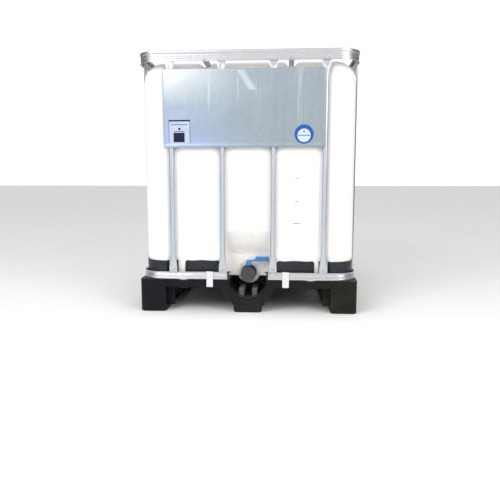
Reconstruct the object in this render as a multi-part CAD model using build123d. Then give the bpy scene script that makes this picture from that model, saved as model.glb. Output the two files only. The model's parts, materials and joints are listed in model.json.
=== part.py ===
from build123d import *
import os
from math import sqrt

# Intermediate bulk container, nominal 1000 litres. Millimetres, +Z up.
# The origin is the bottom centre of the bounding box; the valve side faces -Y.

# ---- driving dimensions ----
WIDTH = 1000.0
LENGTH = 1200.0
HEIGHT = 1172.0
HALF_X = WIDTH / 2
HALF_Y = LENGTH / 2

SKID_TOP = 22.0
BEAM_BOTTOM = 116.0
DECK_TOP = 152.0
DECK_PLATE = 8.0
PALLET_WALL = 6.0
FACE_RECESS = 3.0
PALLET_CORNER_R = 20.0
OUTER_POST_X = 380.0
CENTRE_POST_X = 65.0
ROW_REACH = 80.0
END_POST_Y = 470.0
CENTRE_POST_Y = 70.0
BEAM_DEPTH = 57.0
INNER_ARCH_R = 32.0
RIB = 5.0
RIB_PITCH_X = 95.0
RIB_PITCH_Y = 100.0
POST_BOSS_R = 12.0
POST_PANEL = (94.0, 96.0)
POST_PANEL_DEPTH = 2.0
POST_PANEL_Z = 76.0

WELL_R = 86.0
WELL_FACE_R = 130.0
WELL_BACK_Y = -425.0
WELL_LIP = 4.0
SUPPORT_RIB_X = 31.0
SUPPORT_RIB_W = 26.0
SUPPORT_RIB_TOP = 105.0

RING_INSET = 3.0
BOTTOM_RING_HEIGHT = 36.0
TOP_RING_HEIGHT = 48.0
RING_SHEET = 2.0
RING_CORNER_R = 95.0
RING_GAP_X = 94.0
RING_SEAM_X = -20.0
SEAM_GAP = 1.0
WEB_DEPTH = 4.0
RIB_DEPTH = 3.0
FLANGE_DEPTH = 17.0
RING_FLANGE = 12.0

TUBE_R = 12.5
TUBE_WALL = 1.5
TUBE_DEPTH = 16.0
FLAT_DEPTH = 9.5
BOTTOM_FLAT = (18.5, 3.2)
TOP_FLAT = (20.5, 3.0)
FRONT_TUBES_X = (-345.0, -115.0, 115.0, 345.0)
SIDE_TUBES_Y = (-460.0, -230.0, 0.0, 230.0, 460.0)
BOTTOM_BOLT_Z = 203.0
TOP_RIVET_Z = 1138.5

CROSSBAR_X = 193.0
CROSSBAR_Z = 1137.0
CLIP_X = 175.0
CLIP_WIDTH = 30.0
CLIP_BOTTOM = 118.0
CLIP_SHEET = 3.0

PLATE_X0 = -374.0
PLATE_X1 = 341.0
PLATE_Z0 = 751.0
PLATE_Z1 = 1092.0
PLATE_SHEET = 1.0
PLATE_FRONT_Y = -596.5
LABEL_FILM = 0.3
SQUARE_LABEL_X = (-352.0, -256.0)
SQUARE_LABEL_RISE = (20.0, 122.0)
ROUND_LABEL_R = 42.0
ROUND_LABEL_X = 250.0
ROUND_LABEL_RISE = 57.0

TRAY_FLOOR = 4.0
PANEL_X = 465.0
PANEL_Y = 565.0
PANEL_SHEET = 4.0
PANEL_TOP = 238.0
PANEL_CORNER_R = 80.0

BOTTLE_WALL = 3.0
BOTTLE_TOP = 1135.0
BOTTLE_HALF_X = 484.0
BOTTLE_HALF_Y = 584.0
BOTTLE_FLAT_X = 466.0
BOTTLE_FLAT_Y = 566.0
FOOT_HALF_X = 480.0
FOOT_HALF_Y = 580.0
FOOT_FLAT_X = 460.0
FOOT_FLAT_Y = 560.0
BOTTLE_FOOT_TOP = 250.0
BOTTLE_CORNER_R = 100.0
BOTTLE_SHOULDER_R = 94.0
COLUMN_X = 385.0
COLUMN_Y = 488.0
GROOVE_HALF = 24.0
GROOVE_FLOOR = 1118.0

POCKET_HALF = 110.0
POCKET_BACK_Y = -485.0
POCKET_BEND_Z = 262.0
POCKET_TOP_Z = 372.0
POCKET_RISE = 45.0

NECK_R = 79.5
NECK_BORE_R = 75.0
NECK_WELL_R = 108.0
NECK_SQUARE = 290.0
NECK_BASE_Z = 1085.0
NECK_TOP_Z = 1128.0
LID_R = 87.0
LID_SKIRT_BOTTOM = 1104.0
LID_TOP_Z = 1150.0
LID_PLATE = 6.0
GASKET = 3.0
VENT_R = 27.0

OUTLET_Z = 172.0
OUTLET_BORE_R = 25.0
OUTLET_NECK_R = 31.0
SUMP_R = 54.0
SUMP_BACK_Y = -430.0
SUMP_FLOOR_Y = -380.0
NECK_FACE_Y = -500.0
VALVE_BACK_Y = -502.0
SPINDLE_Y = -525.0
VALVE_MOUTH_Y = -567.0
FLANGE_R = 33.0
NUT_R = 37.0
SPINDLE_NECK = 8.0
THREAD_R = 30.0
SPINDLE_R = 5.0
SPINDLE_FIT = 0.05
CAP_R = 35.0
CAP_BORE_R = 30.4
CAP_FRONT_Y = -573.0
CAP_SKIRT_Y = -549.0
LEVER_REACH = 97.0
LEVER_HALF = 12.0
LEVER_WALL = 3.0
BLADE_X0 = 24.0
BLADE_SLANT = 10.0
HUB_R = (13.0, 9.5)
LEVER_BASE_Z = 230.0
LEVER_TOP_Z = 250.0

BOLT_R = 3.0
HOLE_CLEARANCE = 0.3


# ---- helpers ----
def block(x0, x1, y0, y1, z0, z1):
    """A box between two opposite corners."""
    centre = Pos((x0 + x1) / 2, (y0 + y1) / 2, (z0 + z1) / 2)
    return centre * Box(x1 - x0, y1 - y0, z1 - z0)


def rod_y(radius, y0, y1, x=0.0, z=0.0):
    """A round bar along Y."""
    return Pos(x, (y0 + y1) / 2, z) * Rot(90, 0, 0) * Cylinder(radius, y1 - y0)


def rod_z(radius, z0, z1, x=0.0, y=0.0):
    """A round bar along Z."""
    return Pos(x, y, (z0 + z1) / 2) * Cylinder(radius, z1 - z0)


def prism(width, length, radius, z0, z1):
    """An upright prism on a rectangle with rounded corners."""
    return Pos(0, 0, z0) * extrude(RectangleRounded(width, length, radius), z1 - z0)


def profile_along_x(points, x0, x1):
    """A (y, z) outline carried along X."""
    face = make_face(Polyline(*points, close=True))
    plane = Plane(origin=(x0, 0, 0), x_dir=(0, 1, 0), z_dir=(1, 0, 0))
    return extrude(plane * face, x1 - x0)


def write(shape, name):
    """Write one sub-part."""
    export_step(shape, f"parts/{name}.step")


def around_cage():
    """Place of every cage tube: name, x, y and the turn that faces its outside."""
    places = []
    inset = RING_INSET + TUBE_DEPTH
    for number, x in enumerate(FRONT_TUBES_X, 1):
        places.append((f"front_tube_{number}", x, -HALF_Y + inset, 0))
        places.append((f"back_tube_{number}", x, HALF_Y - inset, 180))
    for number, y in enumerate(SIDE_TUBES_Y, 1):
        places.append((f"left_tube_{number}", -HALF_X + inset, y, -90))
        places.append((f"right_tube_{number}", HALF_X - inset, y, 90))
    return places


# ---- pallet ----
POST_ROWS = {
    "left": (-HALF_X, -OUTER_POST_X),
    "centre": (-CENTRE_POST_X, CENTRE_POST_X),
    "right": (OUTER_POST_X, HALF_X),
}


def half_disc_plate(radius, y0, y1):
    """The lower half of a disc about the valve well's axis, as a plate across Y."""
    return rod_y(radius, y0, y1, 0, DECK_TOP) & block(-radius, radius, y0, y1, 0, DECK_TOP - DECK_PLATE)


def post_column(x0, x1, y0, y1):
    """One hollow post with a screw boss in its middle, held by two crossed webs."""
    wall = PALLET_WALL
    outside = block(x0, x1, y0, y1, SKID_TOP, DECK_TOP - DECK_PLATE)
    inside = block(x0 + wall, x1 - wall, y0 + wall, y1 - wall, SKID_TOP - 1, DECK_TOP - DECK_PLATE)
    boss = rod_z(POST_BOSS_R, SKID_TOP, DECK_TOP - DECK_PLATE, (x0 + x1) / 2, (y0 + y1) / 2)
    web_x = block(x0, x1, (y0 + y1 - RIB) / 2, (y0 + y1 + RIB) / 2, SKID_TOP, DECK_TOP - DECK_PLATE)
    web_y = block((x0 + x1 - RIB) / 2, (x0 + x1 + RIB) / 2, y0, y1, SKID_TOP, DECK_TOP - DECK_PLATE)
    return (outside - inside) + boss + web_x + web_y


def end_beam(side):
    """Front (-1) or back (+1) beam: an outer wall, and an inner arched wall with cross webs."""
    outer = side * (HALF_Y - FACE_RECESS)
    inner = side * (HALF_Y - FACE_RECESS - BEAM_DEPTH)
    wall = 2 * PALLET_WALL - 2
    top = DECK_TOP - DECK_PLATE
    y_out = sorted((outer, outer - side * wall))
    y_in = sorted((inner, inner + side * PALLET_WALL))
    beam = block(-OUTER_POST_X, OUTER_POST_X, y_out[0], y_out[1], BEAM_BOTTOM, top)
    arch = block(-OUTER_POST_X, OUTER_POST_X, y_in[0], y_in[1], SKID_TOP, top)
    span = OUTER_POST_X - INNER_ARCH_R - CENTRE_POST_X - 2 * RIB
    middle = CENTRE_POST_X + 2 * RIB + span / 2
    for x in (-middle, middle):
        opening = RectangleRounded(span, 2 * BEAM_BOTTOM, INNER_ARCH_R)
        plane = Plane(origin=(x, y_in[0] - 1, 0), x_dir=(1, 0, 0), z_dir=(0, -1, 0))
        arch -= extrude(plane * opening, -(PALLET_WALL + 2))
    beam += arch
    webs = int(OUTER_POST_X // RIB_PITCH_X)
    for index in range(-webs, webs + 1):
        x = index * RIB_PITCH_X
        beam += block(x - RIB / 2, x + RIB / 2, min(outer, inner), max(outer, inner), BEAM_BOTTOM, top)
    return beam


def side_beam(side):
    """Left (-1) or right (+1) beam: an outer and an inner wall."""
    outer = side * (HALF_X - FACE_RECESS)
    inner = side * (HALF_X - FACE_RECESS - BEAM_DEPTH)
    wall = 2 * PALLET_WALL - 2
    top = DECK_TOP - DECK_PLATE
    x_out = sorted((outer, outer - side * wall))
    x_in = sorted((inner, inner + side * PALLET_WALL))
    beam = block(x_out[0], x_out[1], -END_POST_Y, END_POST_Y, BEAM_BOTTOM, top)
    beam += block(x_in[0], x_in[1], -END_POST_Y, END_POST_Y, BEAM_BOTTOM, top)
    return beam


def deck_ribs():
    """The grid of ribs under the deck plate."""
    top = DECK_TOP - DECK_PLATE
    ribs = []
    for index in range(-4, 5):
        x = index * RIB_PITCH_X
        ribs.append(block(x - RIB / 2, x + RIB / 2, -HALF_Y + 60, HALF_Y - 60, BEAM_BOTTOM + 4, top))
    for index in range(-5, 6):
        y = index * RIB_PITCH_Y
        ribs.append(block(-HALF_X + 60, HALF_X - 60, y - RIB / 2, y + RIB / 2, BEAM_BOTTOM + 4, top))
    return ribs


def pallet_form():
    """The pallet's whole form: deck, beams, nine posts and the seat for the valve well."""
    top = DECK_TOP - DECK_PLATE
    body = block(-HALF_X + FACE_RECESS, HALF_X - FACE_RECESS, -HALF_Y + FACE_RECESS,
                 HALF_Y - FACE_RECESS, top, DECK_TOP)
    spans_x = tuple(POST_ROWS.values())
    spans_y = ((-HALF_Y, -END_POST_Y), (-CENTRE_POST_Y, CENTRE_POST_Y), (END_POST_Y, HALF_Y))
    for x0, x1 in spans_x:
        for y0, y1 in spans_y:
            body += post_column(x0, x1, y0, y1)
    for x in (-1, 1):
        for y in (-1, 1):
            corner_x = sorted((x * OUTER_POST_X, x * HALF_X))
            corner_y = sorted((y * END_POST_Y, y * HALF_Y))
            body += block(corner_x[0], corner_x[1], corner_y[0], corner_y[1], top, DECK_TOP)
    body += end_beam(-1)
    body += end_beam(1)
    body += side_beam(-1)
    body += side_beam(1)
    for rib in deck_ribs():
        body += rib
    face = -HALF_Y + FACE_RECESS
    body += half_disc_plate(WELL_FACE_R, face, face + 2 * PALLET_WALL - 2)
    seat_r = WELL_R + PALLET_WALL + HOLE_CLEARANCE
    body -= rod_y(seat_r, -HALF_Y - 1, WELL_BACK_Y + PALLET_WALL + HOLE_CLEARANCE, 0, DECK_TOP)
    for x0, x1 in spans_x:
        for side in (-1, 1):
            body -= post_face_recess((x0 + x1) / 2, side)
    for x0, x1 in spans_x:
        for y0, y1 in spans_y:
            body -= rod_z(BOLT_R + HOLE_CLEARANCE, SKID_TOP - 1, SKID_TOP + 35, (x0 + x1) / 2, (y0 + y1) / 2)
    return body & prism(WIDTH, LENGTH, PALLET_CORNER_R, 0, DECK_TOP)


def pallet_parts():
    """The deck with its beams, and three rows of feet that meet it at the beams' underside; each row
    keeps the arch corners and the half disc that flare out beside its posts."""
    form = pallet_form()
    parts = {"pallet_deck": form & block(-HALF_X, HALF_X, -HALF_Y, HALF_Y, BEAM_BOTTOM, DECK_TOP)}
    for row, (x0, x1) in POST_ROWS.items():
        under = block(x0 - ROW_REACH, x1 + ROW_REACH, -HALF_Y, HALF_Y, 0, BEAM_BOTTOM)
        parts[f"{row}_feet"] = form & under
    return parts


def post_face_recess(x, side):
    """The shallow rounded recess moulded in the face of an end post."""
    width, height = POST_PANEL
    turn = Rot(90, 0, 0) * extrude(RectangleRounded(width, height, 8), POST_PANEL_DEPTH, both=True)
    return Pos(x, side * HALF_Y, POST_PANEL_Z) * turn


def valve_well():
    """Half-round trough let into the pallet under the valve, with a front lip and two support ribs."""
    face = -HALF_Y + FACE_RECESS
    shell_r = WELL_R + PALLET_WALL
    well = rod_y(shell_r, face, WELL_BACK_Y + PALLET_WALL, 0, DECK_TOP)
    well += rod_y(WELL_R + WELL_LIP, -HALF_Y, face, 0, DECK_TOP)
    well -= rod_y(WELL_R, -HALF_Y - 1, WELL_BACK_Y, 0, DECK_TOP)
    well -= block(-HALF_X, HALF_X, -HALF_Y - 1, 0, DECK_TOP, HEIGHT)
    floor = DECK_TOP - sqrt(WELL_R ** 2 - (SUPPORT_RIB_X + SUPPORT_RIB_W / 2) ** 2)
    for x in (-SUPPORT_RIB_X, SUPPORT_RIB_X):
        half = SUPPORT_RIB_W / 2
        rib = block(x - half, x + half, -HALF_Y + 40, WELL_BACK_Y + 1, floor - 20, SUPPORT_RIB_TOP)
        well += rib & rod_y(WELL_R + 1, -HALF_Y, 0, 0, DECK_TOP)
    return well


SCREW_HEAD_R = 8.0
SCREW_HEAD_Z = 6.0


def skid(x0, x1):
    """One runner board, with counterbored holes under the posts."""
    board = Pos((x0 + x1) / 2, 0, 0) * extrude(RectangleRounded(x1 - x0, LENGTH, PALLET_CORNER_R), SKID_TOP)
    board = chamfer(board.edges().group_by(Axis.Z)[0], 4)
    board = chamfer(board.edges().group_by(Axis.Z)[-1], 1.5)
    middle = (x0 + x1) / 2
    for y in skid_screw_rows():
        board -= rod_z(BOLT_R + HOLE_CLEARANCE, -1, SKID_TOP + 1, middle, y)
        board -= rod_z(SCREW_HEAD_R + HOLE_CLEARANCE, -1, SCREW_HEAD_Z + 5, middle, y)
    return board


def skid_screw_rows():
    """Y places of the skid screws: the middles of the posts."""
    end = (END_POST_Y + HALF_Y) / 2
    return (-end, 0.0, end)


def skid_screws():
    """Nine pan-head screws that hold the skids under the posts."""
    screws = []
    for x0, x1 in POST_ROWS.values():
        for y in skid_screw_rows():
            x = (x0 + x1) / 2
            head = rod_z(SCREW_HEAD_R, SCREW_HEAD_Z, SCREW_HEAD_Z + 5, x, y)
            screws.append(head + rod_z(BOLT_R, SCREW_HEAD_Z + 5, SKID_TOP + 30, x, y))
    return Compound(screws)


# ---- cage rings ----
def ring_section(height):
    """Roll-formed section: d is the depth from the outer line, u runs from the open edge to the rolled lip.
    The web and its two ribs take their heights as shares of the ring's height."""
    web = WEB_DEPTH
    rib = RIB_DEPTH
    shares = [(1, 0), (1, 0.083), (web, 0.167), (web, 0.236), (rib, 0.278), (rib, 0.333), (web, 0.375)]
    shares += [(web, 0.431), (rib, 0.472), (rib, 0.528), (web, 0.569), (web, 0.694), (0.8, 0.778)]
    shares += [(0, 0.833)]
    outer = [(d, share * height) for d, share in shares] + [(0, height - 3)]
    inner = [(d + RING_SHEET, u) for d, u in reversed(outer)]
    flange = FLANGE_DEPTH
    lip = [(3, height), (flange - 2, height), (flange, height - 2), (flange, height - RING_FLANGE)]
    back = [(flange - RING_SHEET, height - RING_FLANGE), (flange - RING_SHEET, height - RING_SHEET)]
    back += [(3.8, height - RING_SHEET)]
    return outer + lip + back + inner


def ring_sweep(height, z_open, direction, start_x, end_x):
    """Carry the section round the cage, from start_x on the front side round to end_x."""
    x_line = HALF_X - RING_INSET
    y_line = HALF_Y - RING_INSET
    corners = [(x_line, -y_line), (x_line, y_line), (-x_line, y_line), (-x_line, -y_line)]
    points = [(start_x, -y_line)] + corners + [(end_x, -y_line)]
    path = FilletPolyline(*[(x, y, z_open) for x, y in points], radius=RING_CORNER_R)
    outline = [(d, direction * u) for d, u in ring_section(height)]
    plane = Plane(origin=(start_x, -y_line, z_open), x_dir=(0, 1, 0), z_dir=(1, 0, 0))
    face = plane * make_face(Polyline(*outline, close=True))
    return sweep(face, path=path)


def outward_rod(radius, depth0, depth1, x, y, z, turn):
    """A round bar across the cage wall at a tube's place, between two depths from the ring's outer line."""
    rod = rod_y(radius, depth0 - TUBE_DEPTH, depth1 - TUBE_DEPTH, 0, z)
    return Pos(x, y, 0) * Rot(0, 0, turn) * rod


def top_ring():
    """Closed top ring with its seam in the front side and holes for the rivets and bolts."""
    seam = RING_SEAM_X
    ring = ring_sweep(TOP_RING_HEIGHT, HEIGHT - TOP_RING_HEIGHT, 1, seam + SEAM_GAP / 2, seam - SEAM_GAP / 2)
    for _, x, y, turn in around_cage():
        ring -= outward_rod(BOLT_R + HOLE_CLEARANCE, -1, TUBE_DEPTH - 5, x, y, TOP_RIVET_Z, turn)
    for x, y, turn in crossbar_ends():
        ring -= outward_rod(CROSSBAR_BOLT_R + HOLE_CLEARANCE, -1, TUBE_DEPTH - 5, x, y, CROSSBAR_Z, turn)
    return ring


def bottom_ring():
    """Bottom ring, open at the front for the valve, with paired slots under each tube."""
    edge = DECK_TOP + BOTTOM_RING_HEIGHT
    ring = ring_sweep(BOTTOM_RING_HEIGHT, edge, -1, RING_GAP_X, -RING_GAP_X)
    slot_z = edge - 8
    for _, x, y, turn in around_cage():
        for shift in (-13, 13):
            slot = block(shift - 5, shift + 5, -TUBE_DEPTH - 1, 10 - TUBE_DEPTH, slot_z - 1.2, slot_z + 1.2)
            ring -= Pos(x, y, 0) * Rot(0, 0, turn) * slot
    return ring


def ring_end_caps():
    """Plastic plugs that close the two ends of the bottom ring beside the valve."""
    caps = []
    front = -HALF_Y + RING_INSET
    top = DECK_TOP + BOTTOM_RING_HEIGHT + 2
    for side in (-1, 1):
        x_range = sorted((side * RING_GAP_X, side * (RING_GAP_X - 8)))
        cap = block(x_range[0], x_range[1], front, front + FLANGE_DEPTH, DECK_TOP, top)
        knob_x = sorted((side * (RING_GAP_X - 8), side * (RING_GAP_X - 16)))
        cap += block(knob_x[0], knob_x[1], front + 4, front + 10, top - 5, top)
        caps.append(cap)
    return Compound(caps)


def ring_joint_plate():
    """Flat plate behind the web that joins the two ends of the top ring."""
    front = -HALF_Y + RING_INSET + WEB_DEPTH + RING_SHEET
    z0 = HEIGHT - TOP_RING_HEIGHT + 7
    return block(RING_SEAM_X - 45, RING_SEAM_X + 45, front, front + 2, z0, z0 + 17)


def ring_clips():
    """Eight straps hooked over the bottom ring's open edge and down the pallet's beam faces."""
    outer = -HALF_Y
    back = outer + CLIP_SHEET
    hook = back + WEB_DEPTH + RING_SHEET + 0.5
    edge = DECK_TOP + BOTTOM_RING_HEIGHT
    outline = [(outer, CLIP_BOTTOM), (back, CLIP_BOTTOM), (back, edge), (hook, edge), (hook, edge - 10),
               (hook + 2, edge - 10), (hook + 2, edge + 2), (outer, edge + 2)]
    strap = profile_along_x(outline, -CLIP_WIDTH / 2, CLIP_WIDTH / 2)
    clips = []
    for x in (-CLIP_X, CLIP_X):
        clips.append(Pos(x, 0, 0) * strap)
        clips.append(Rot(0, 0, 180) * Pos(x, 0, 0) * strap)
        clips.append(Rot(0, 0, 90) * Pos(2 * x, HALF_Y - HALF_X, 0) * strap)
        clips.append(Rot(0, 0, -90) * Pos(2 * x, HALF_Y - HALF_X, 0) * strap)
    return Compound(clips)


# ---- cage tubes ----
def tube_solid(shrink):
    """Round tube with flattened ends that step out behind the ring's web; shrink gives its inside."""
    step = FLAT_DEPTH - TUBE_DEPTH
    low = (BOTTOM_FLAT[0] - shrink, BOTTOM_FLAT[1] - shrink)
    high = (TOP_FLAT[0] - shrink, TOP_FLAT[1] - shrink)
    radius = TUBE_R - shrink
    past = 1.0 if shrink else 0.0
    z_end, z_flat, z_round = DECK_TOP + 3 - past, 212.0, 262.0
    z_round_top, z_flat_top, z_end_top = 1062.0, 1112.0, HEIGHT - 4 + past
    foot = Pos(0, step, z_end) * extrude(Ellipse(*low), z_flat - z_end)
    flare = loft([Pos(0, step, z_flat) * Ellipse(*low), Pos(0, 0, z_round) * Ellipse(radius, radius - 0.001)])
    middle = Pos(0, 0, z_round) * extrude(Ellipse(radius, radius - 0.001), z_round_top - z_round)
    neck = loft([Pos(0, 0, z_round_top) * Ellipse(radius, radius - 0.001),
                 Pos(0, step, z_flat_top) * Ellipse(*high)])
    head = Pos(0, step, z_flat_top) * extrude(Ellipse(*high), z_end_top - z_flat_top)
    return foot + flare + middle + neck + head


def cage_tube():
    """One hollow upright with its bolt and rivet holes; it faces -Y."""
    tube = tube_solid(0) - tube_solid(TUBE_WALL)
    for z in (BOTTOM_BOLT_Z, TOP_RIVET_Z):
        tube -= rod_y(BOLT_R + HOLE_CLEARANCE, -TUBE_R - 5, TUBE_R, 0, z)
    return tube


def tube_fasteners():
    """A bolt with a nut at each tube's foot and a rivet through the top ring at its head."""
    solids = []
    flat_front = FLAT_DEPTH - BOTTOM_FLAT[1]
    flat_back = FLAT_DEPTH + BOTTOM_FLAT[1]
    for _, x, y, turn in around_cage():
        bolt = outward_rod(6.5, flat_front - 4, flat_front, x, y, BOTTOM_BOLT_Z, turn)
        bolt += outward_rod(BOLT_R, flat_front, flat_back, x, y, BOTTOM_BOLT_Z, turn)
        bolt += outward_rod(5.5, flat_back, flat_back + 4, x, y, BOTTOM_BOLT_Z, turn)
        rivet = outward_rod(5.5, 0.3, RIB_DEPTH, x, y, TOP_RIVET_Z, turn)
        rivet += outward_rod(BOLT_R, RIB_DEPTH, flat_back, x, y, TOP_RIVET_Z, turn)
        rivet += outward_rod(5.0, flat_back, flat_back + 2, x, y, TOP_RIVET_Z, turn)
        solids += [bolt, rivet]
    return Compound(solids)


CROSSBAR_BOLT_R = 4.0
CROSSBAR_NAMES = {"left_crossbar": -CROSSBAR_X, "right_crossbar": CROSSBAR_X}


def crossbar_ends():
    """Places of the crossbar bolts, told as tube places are."""
    inset = RING_INSET + TUBE_DEPTH
    ends = []
    for x in (-CROSSBAR_X, CROSSBAR_X):
        ends.append((x, -HALF_Y + inset, 0))
        ends.append((x, HALF_Y - inset, 180))
    return ends


def crossbar(x):
    """One tube over the bottle from front to back, with an end plate inside each ring side."""
    plate_out = HALF_Y - RING_INSET - WEB_DEPTH - RING_SHEET - HOLE_CLEARANCE
    plate_in = plate_out - 3
    bar = rod_y(TUBE_R, -plate_in, plate_in, x, CROSSBAR_Z)
    bar -= rod_y(TUBE_R - TUBE_WALL, -plate_in, plate_in, x, CROSSBAR_Z)
    for side in (-1, 1):
        y_range = sorted((side * plate_in, side * plate_out))
        bar += block(x - 17, x + 17, y_range[0], y_range[1], CROSSBAR_Z - TUBE_R, CROSSBAR_Z + TUBE_R)
    return bar - rod_y(CROSSBAR_BOLT_R + HOLE_CLEARANCE, -HALF_Y, HALF_Y, x, CROSSBAR_Z)


def crossbar_bolts():
    """Four bolts through the top ring into the crossbar ends, each with its nut."""
    nut_at = WEB_DEPTH + RING_SHEET + HOLE_CLEARANCE + 3
    solids = []
    for x, y, turn in crossbar_ends():
        bolt = outward_rod(6.0, 0.3, RIB_DEPTH, x, y, CROSSBAR_Z, turn)
        bolt += outward_rod(CROSSBAR_BOLT_R, RIB_DEPTH, nut_at, x, y, CROSSBAR_Z, turn)
        bolt += outward_rod(7.0, nut_at, nut_at + 5, x, y, CROSSBAR_Z, turn)
        solids.append(bolt)
    return Compound(solids)


# ---- label plate ----
RIM_HEIGHT = 11.0
RIM_DEPTH = 4.5


def label_plate():
    """Flat sheet across the upper front tubes, with a rolled bottom rim and a folded top hem."""
    back = PLATE_FRONT_Y + PLATE_SHEET
    plate = block(PLATE_X0, PLATE_X1, PLATE_FRONT_Y, back, PLATE_Z0, PLATE_Z1)
    rim = block(PLATE_X0, PLATE_X1, back - RIM_DEPTH, back, PLATE_Z0, PLATE_Z0 + RIM_HEIGHT)
    hem = block(PLATE_X0, PLATE_X1, back - 2.5, back, PLATE_Z1 - 4, PLATE_Z1)
    edge = block(PLATE_X1 - 4, PLATE_X1, back - 2, back, PLATE_Z0, PLATE_Z1)
    return plate + rim + hem + edge


def plate_clips():
    """Six bands round the tubes that hold the label plate."""
    clips = []
    axis_y = -HALF_Y + RING_INSET + TUBE_DEPTH
    inner = TUBE_R + HOLE_CLEARANCE
    outer = inner + 1.2
    front = PLATE_FRONT_Y + PLATE_SHEET
    for x in FRONT_TUBES_X[:3]:
        for z in (PLATE_Z0 + 24, PLATE_Z1 - 40):
            band = rod_z(outer, z - 9, z + 9, x, axis_y)
            band += block(x - outer, x + outer, front, axis_y, z - 9, z + 9)
            band -= rod_z(inner, z - 10, z + 10, x, axis_y)
            band -= block(x - inner, x + inner, front - 1, axis_y, z - 10, z + 10)
            clips.append(band)
    solids = []
    for band in clips:
        solids += band.solids()
    return Compound(solids)


def plate_labels():
    """Printed rectangle low on the left of the plate, and printed disc low on its right."""
    front = PLATE_FRONT_Y - LABEL_FILM
    z0, z1 = [PLATE_Z0 + rise for rise in SQUARE_LABEL_RISE]
    rectangle = block(*SQUARE_LABEL_X, front, PLATE_FRONT_Y, z0, z1)
    disc = rod_y(ROUND_LABEL_R, front, PLATE_FRONT_Y, ROUND_LABEL_X, PLATE_Z0 + ROUND_LABEL_RISE)
    return Compound([rectangle, disc])


# ---- bottle tray ----
def tray_floor():
    """Thin floor under the bottle, notched for the outlet."""
    base = prism(2 * PANEL_X + PANEL_SHEET, 2 * PANEL_Y + PANEL_SHEET, PANEL_CORNER_R, DECK_TOP,
                 DECK_TOP + TRAY_FLOOR)
    return base - block(-100, 100, -HALF_Y, WELL_BACK_Y + 6, DECK_TOP - 1, DECK_TOP + TRAY_FLOOR + 1)


def foot_form(grow, z0, z1):
    """An upright prism on the outline of the bottle's foot, grown outwards."""
    radius = BOTTLE_CORNER_R - 4 + grow
    form = prism(2 * (FOOT_HALF_X + grow), 2 * (FOOT_HALF_Y + grow), radius, z0, z1)
    return form - flats(-grow, FOOT_FLAT_X, FOOT_FLAT_Y)


def panel_band():
    """The closed band round the bottle's foot that the corner panels are cut from."""
    z0 = DECK_TOP + RING_FLANGE + 1
    gap = 1.5
    return foot_form(gap + PANEL_SHEET, z0, PANEL_TOP) - foot_form(gap, z0 - 1, PANEL_TOP + 1)


def flat_panel(length, radius=12.0):
    """An upright panel across X with rounded top corners, centred on its length."""
    z0, z1 = DECK_TOP + TRAY_FLOOR, PANEL_TOP
    panel = block(-length / 2, length / 2, -PANEL_SHEET / 2, PANEL_SHEET / 2, z0, z1)
    top_corners = panel.edges().filter_by(Axis.Y).group_by(Axis.Z)[-1]
    return fillet(top_corners, radius)


def corner_panels():
    """The four corner panels, named by their places."""
    band = panel_band()
    panels = {}
    for y_name, y_side in (("front", -1), ("back", 1)):
        for x_name, x_side in (("left", -1), ("right", 1)):
            x_range = sorted((x_side * 325, x_side * HALF_X))
            y_range = sorted((y_side * 420, y_side * HALF_Y))
            region = block(x_range[0], x_range[1], y_range[0], y_range[1], DECK_TOP, PANEL_TOP + 1)
            panels[f"corner_panel_{y_name}_{x_name}"] = band & region
    return panels


def rim_panels():
    """Flat panels between the corners: two at the front, two at the back, two on each side."""
    front = [Pos(x, -PANEL_Y, 0) * flat_panel(length) for x, length in ((-211, 164), (219, 172))]
    back = [Pos(x, PANEL_Y, 0) * flat_panel(290) for x in (-160, 160)]
    turned = Rot(0, 0, 90) * flat_panel(380)
    sides = [Pos(x, y, 0) * turned for x in (-PANEL_X, PANEL_X) for y in (-202, 202)]
    return {"front_panels": Compound(front), "back_panels": Compound(back), "side_panels": Compound(sides)}


# ---- bottle ----
def bottle_form(inset):
    """The bottle's closed outer form; inset moves every wall inwards to give its inside."""
    top = BOTTLE_TOP - inset
    floor = DECK_TOP + TRAY_FLOOR + inset
    upper = prism(2 * (BOTTLE_HALF_X - inset), 2 * (BOTTLE_HALF_Y - inset), BOTTLE_CORNER_R - inset,
                  BOTTLE_FOOT_TOP + inset, top)
    upper = fillet(upper.edges().group_by(Axis.Z)[-1], BOTTLE_SHOULDER_R - inset)
    upper = fillet(upper.edges().group_by(Axis.Z)[0], 20)
    upper -= flats(inset, BOTTLE_FLAT_X, BOTTLE_FLAT_Y)
    lower = prism(2 * (FOOT_HALF_X - inset), 2 * (FOOT_HALF_Y - inset), BOTTLE_CORNER_R - 4 - inset,
                  floor, BOTTLE_FOOT_TOP + 30)
    lower = fillet(lower.edges().group_by(Axis.Z)[0], 28)
    form = upper + (lower - flats(inset, FOOT_FLAT_X, FOOT_FLAT_Y))
    for x in (-CROSSBAR_X, CROSSBAR_X):
        half = GROOVE_HALF + inset
        form -= block(x - half, x + half, -HALF_Y, HALF_Y, GROOVE_FLOOR - inset, HEIGHT)
    form -= rod_z(NECK_WELL_R + inset, NECK_BASE_Z - inset, HEIGHT)
    form -= valve_pocket(inset)
    form += rod_y(SUMP_R - inset, NECK_FACE_Y + 12 + inset, SUMP_BACK_Y - inset, 0, OUTLET_Z)
    return form


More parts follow.
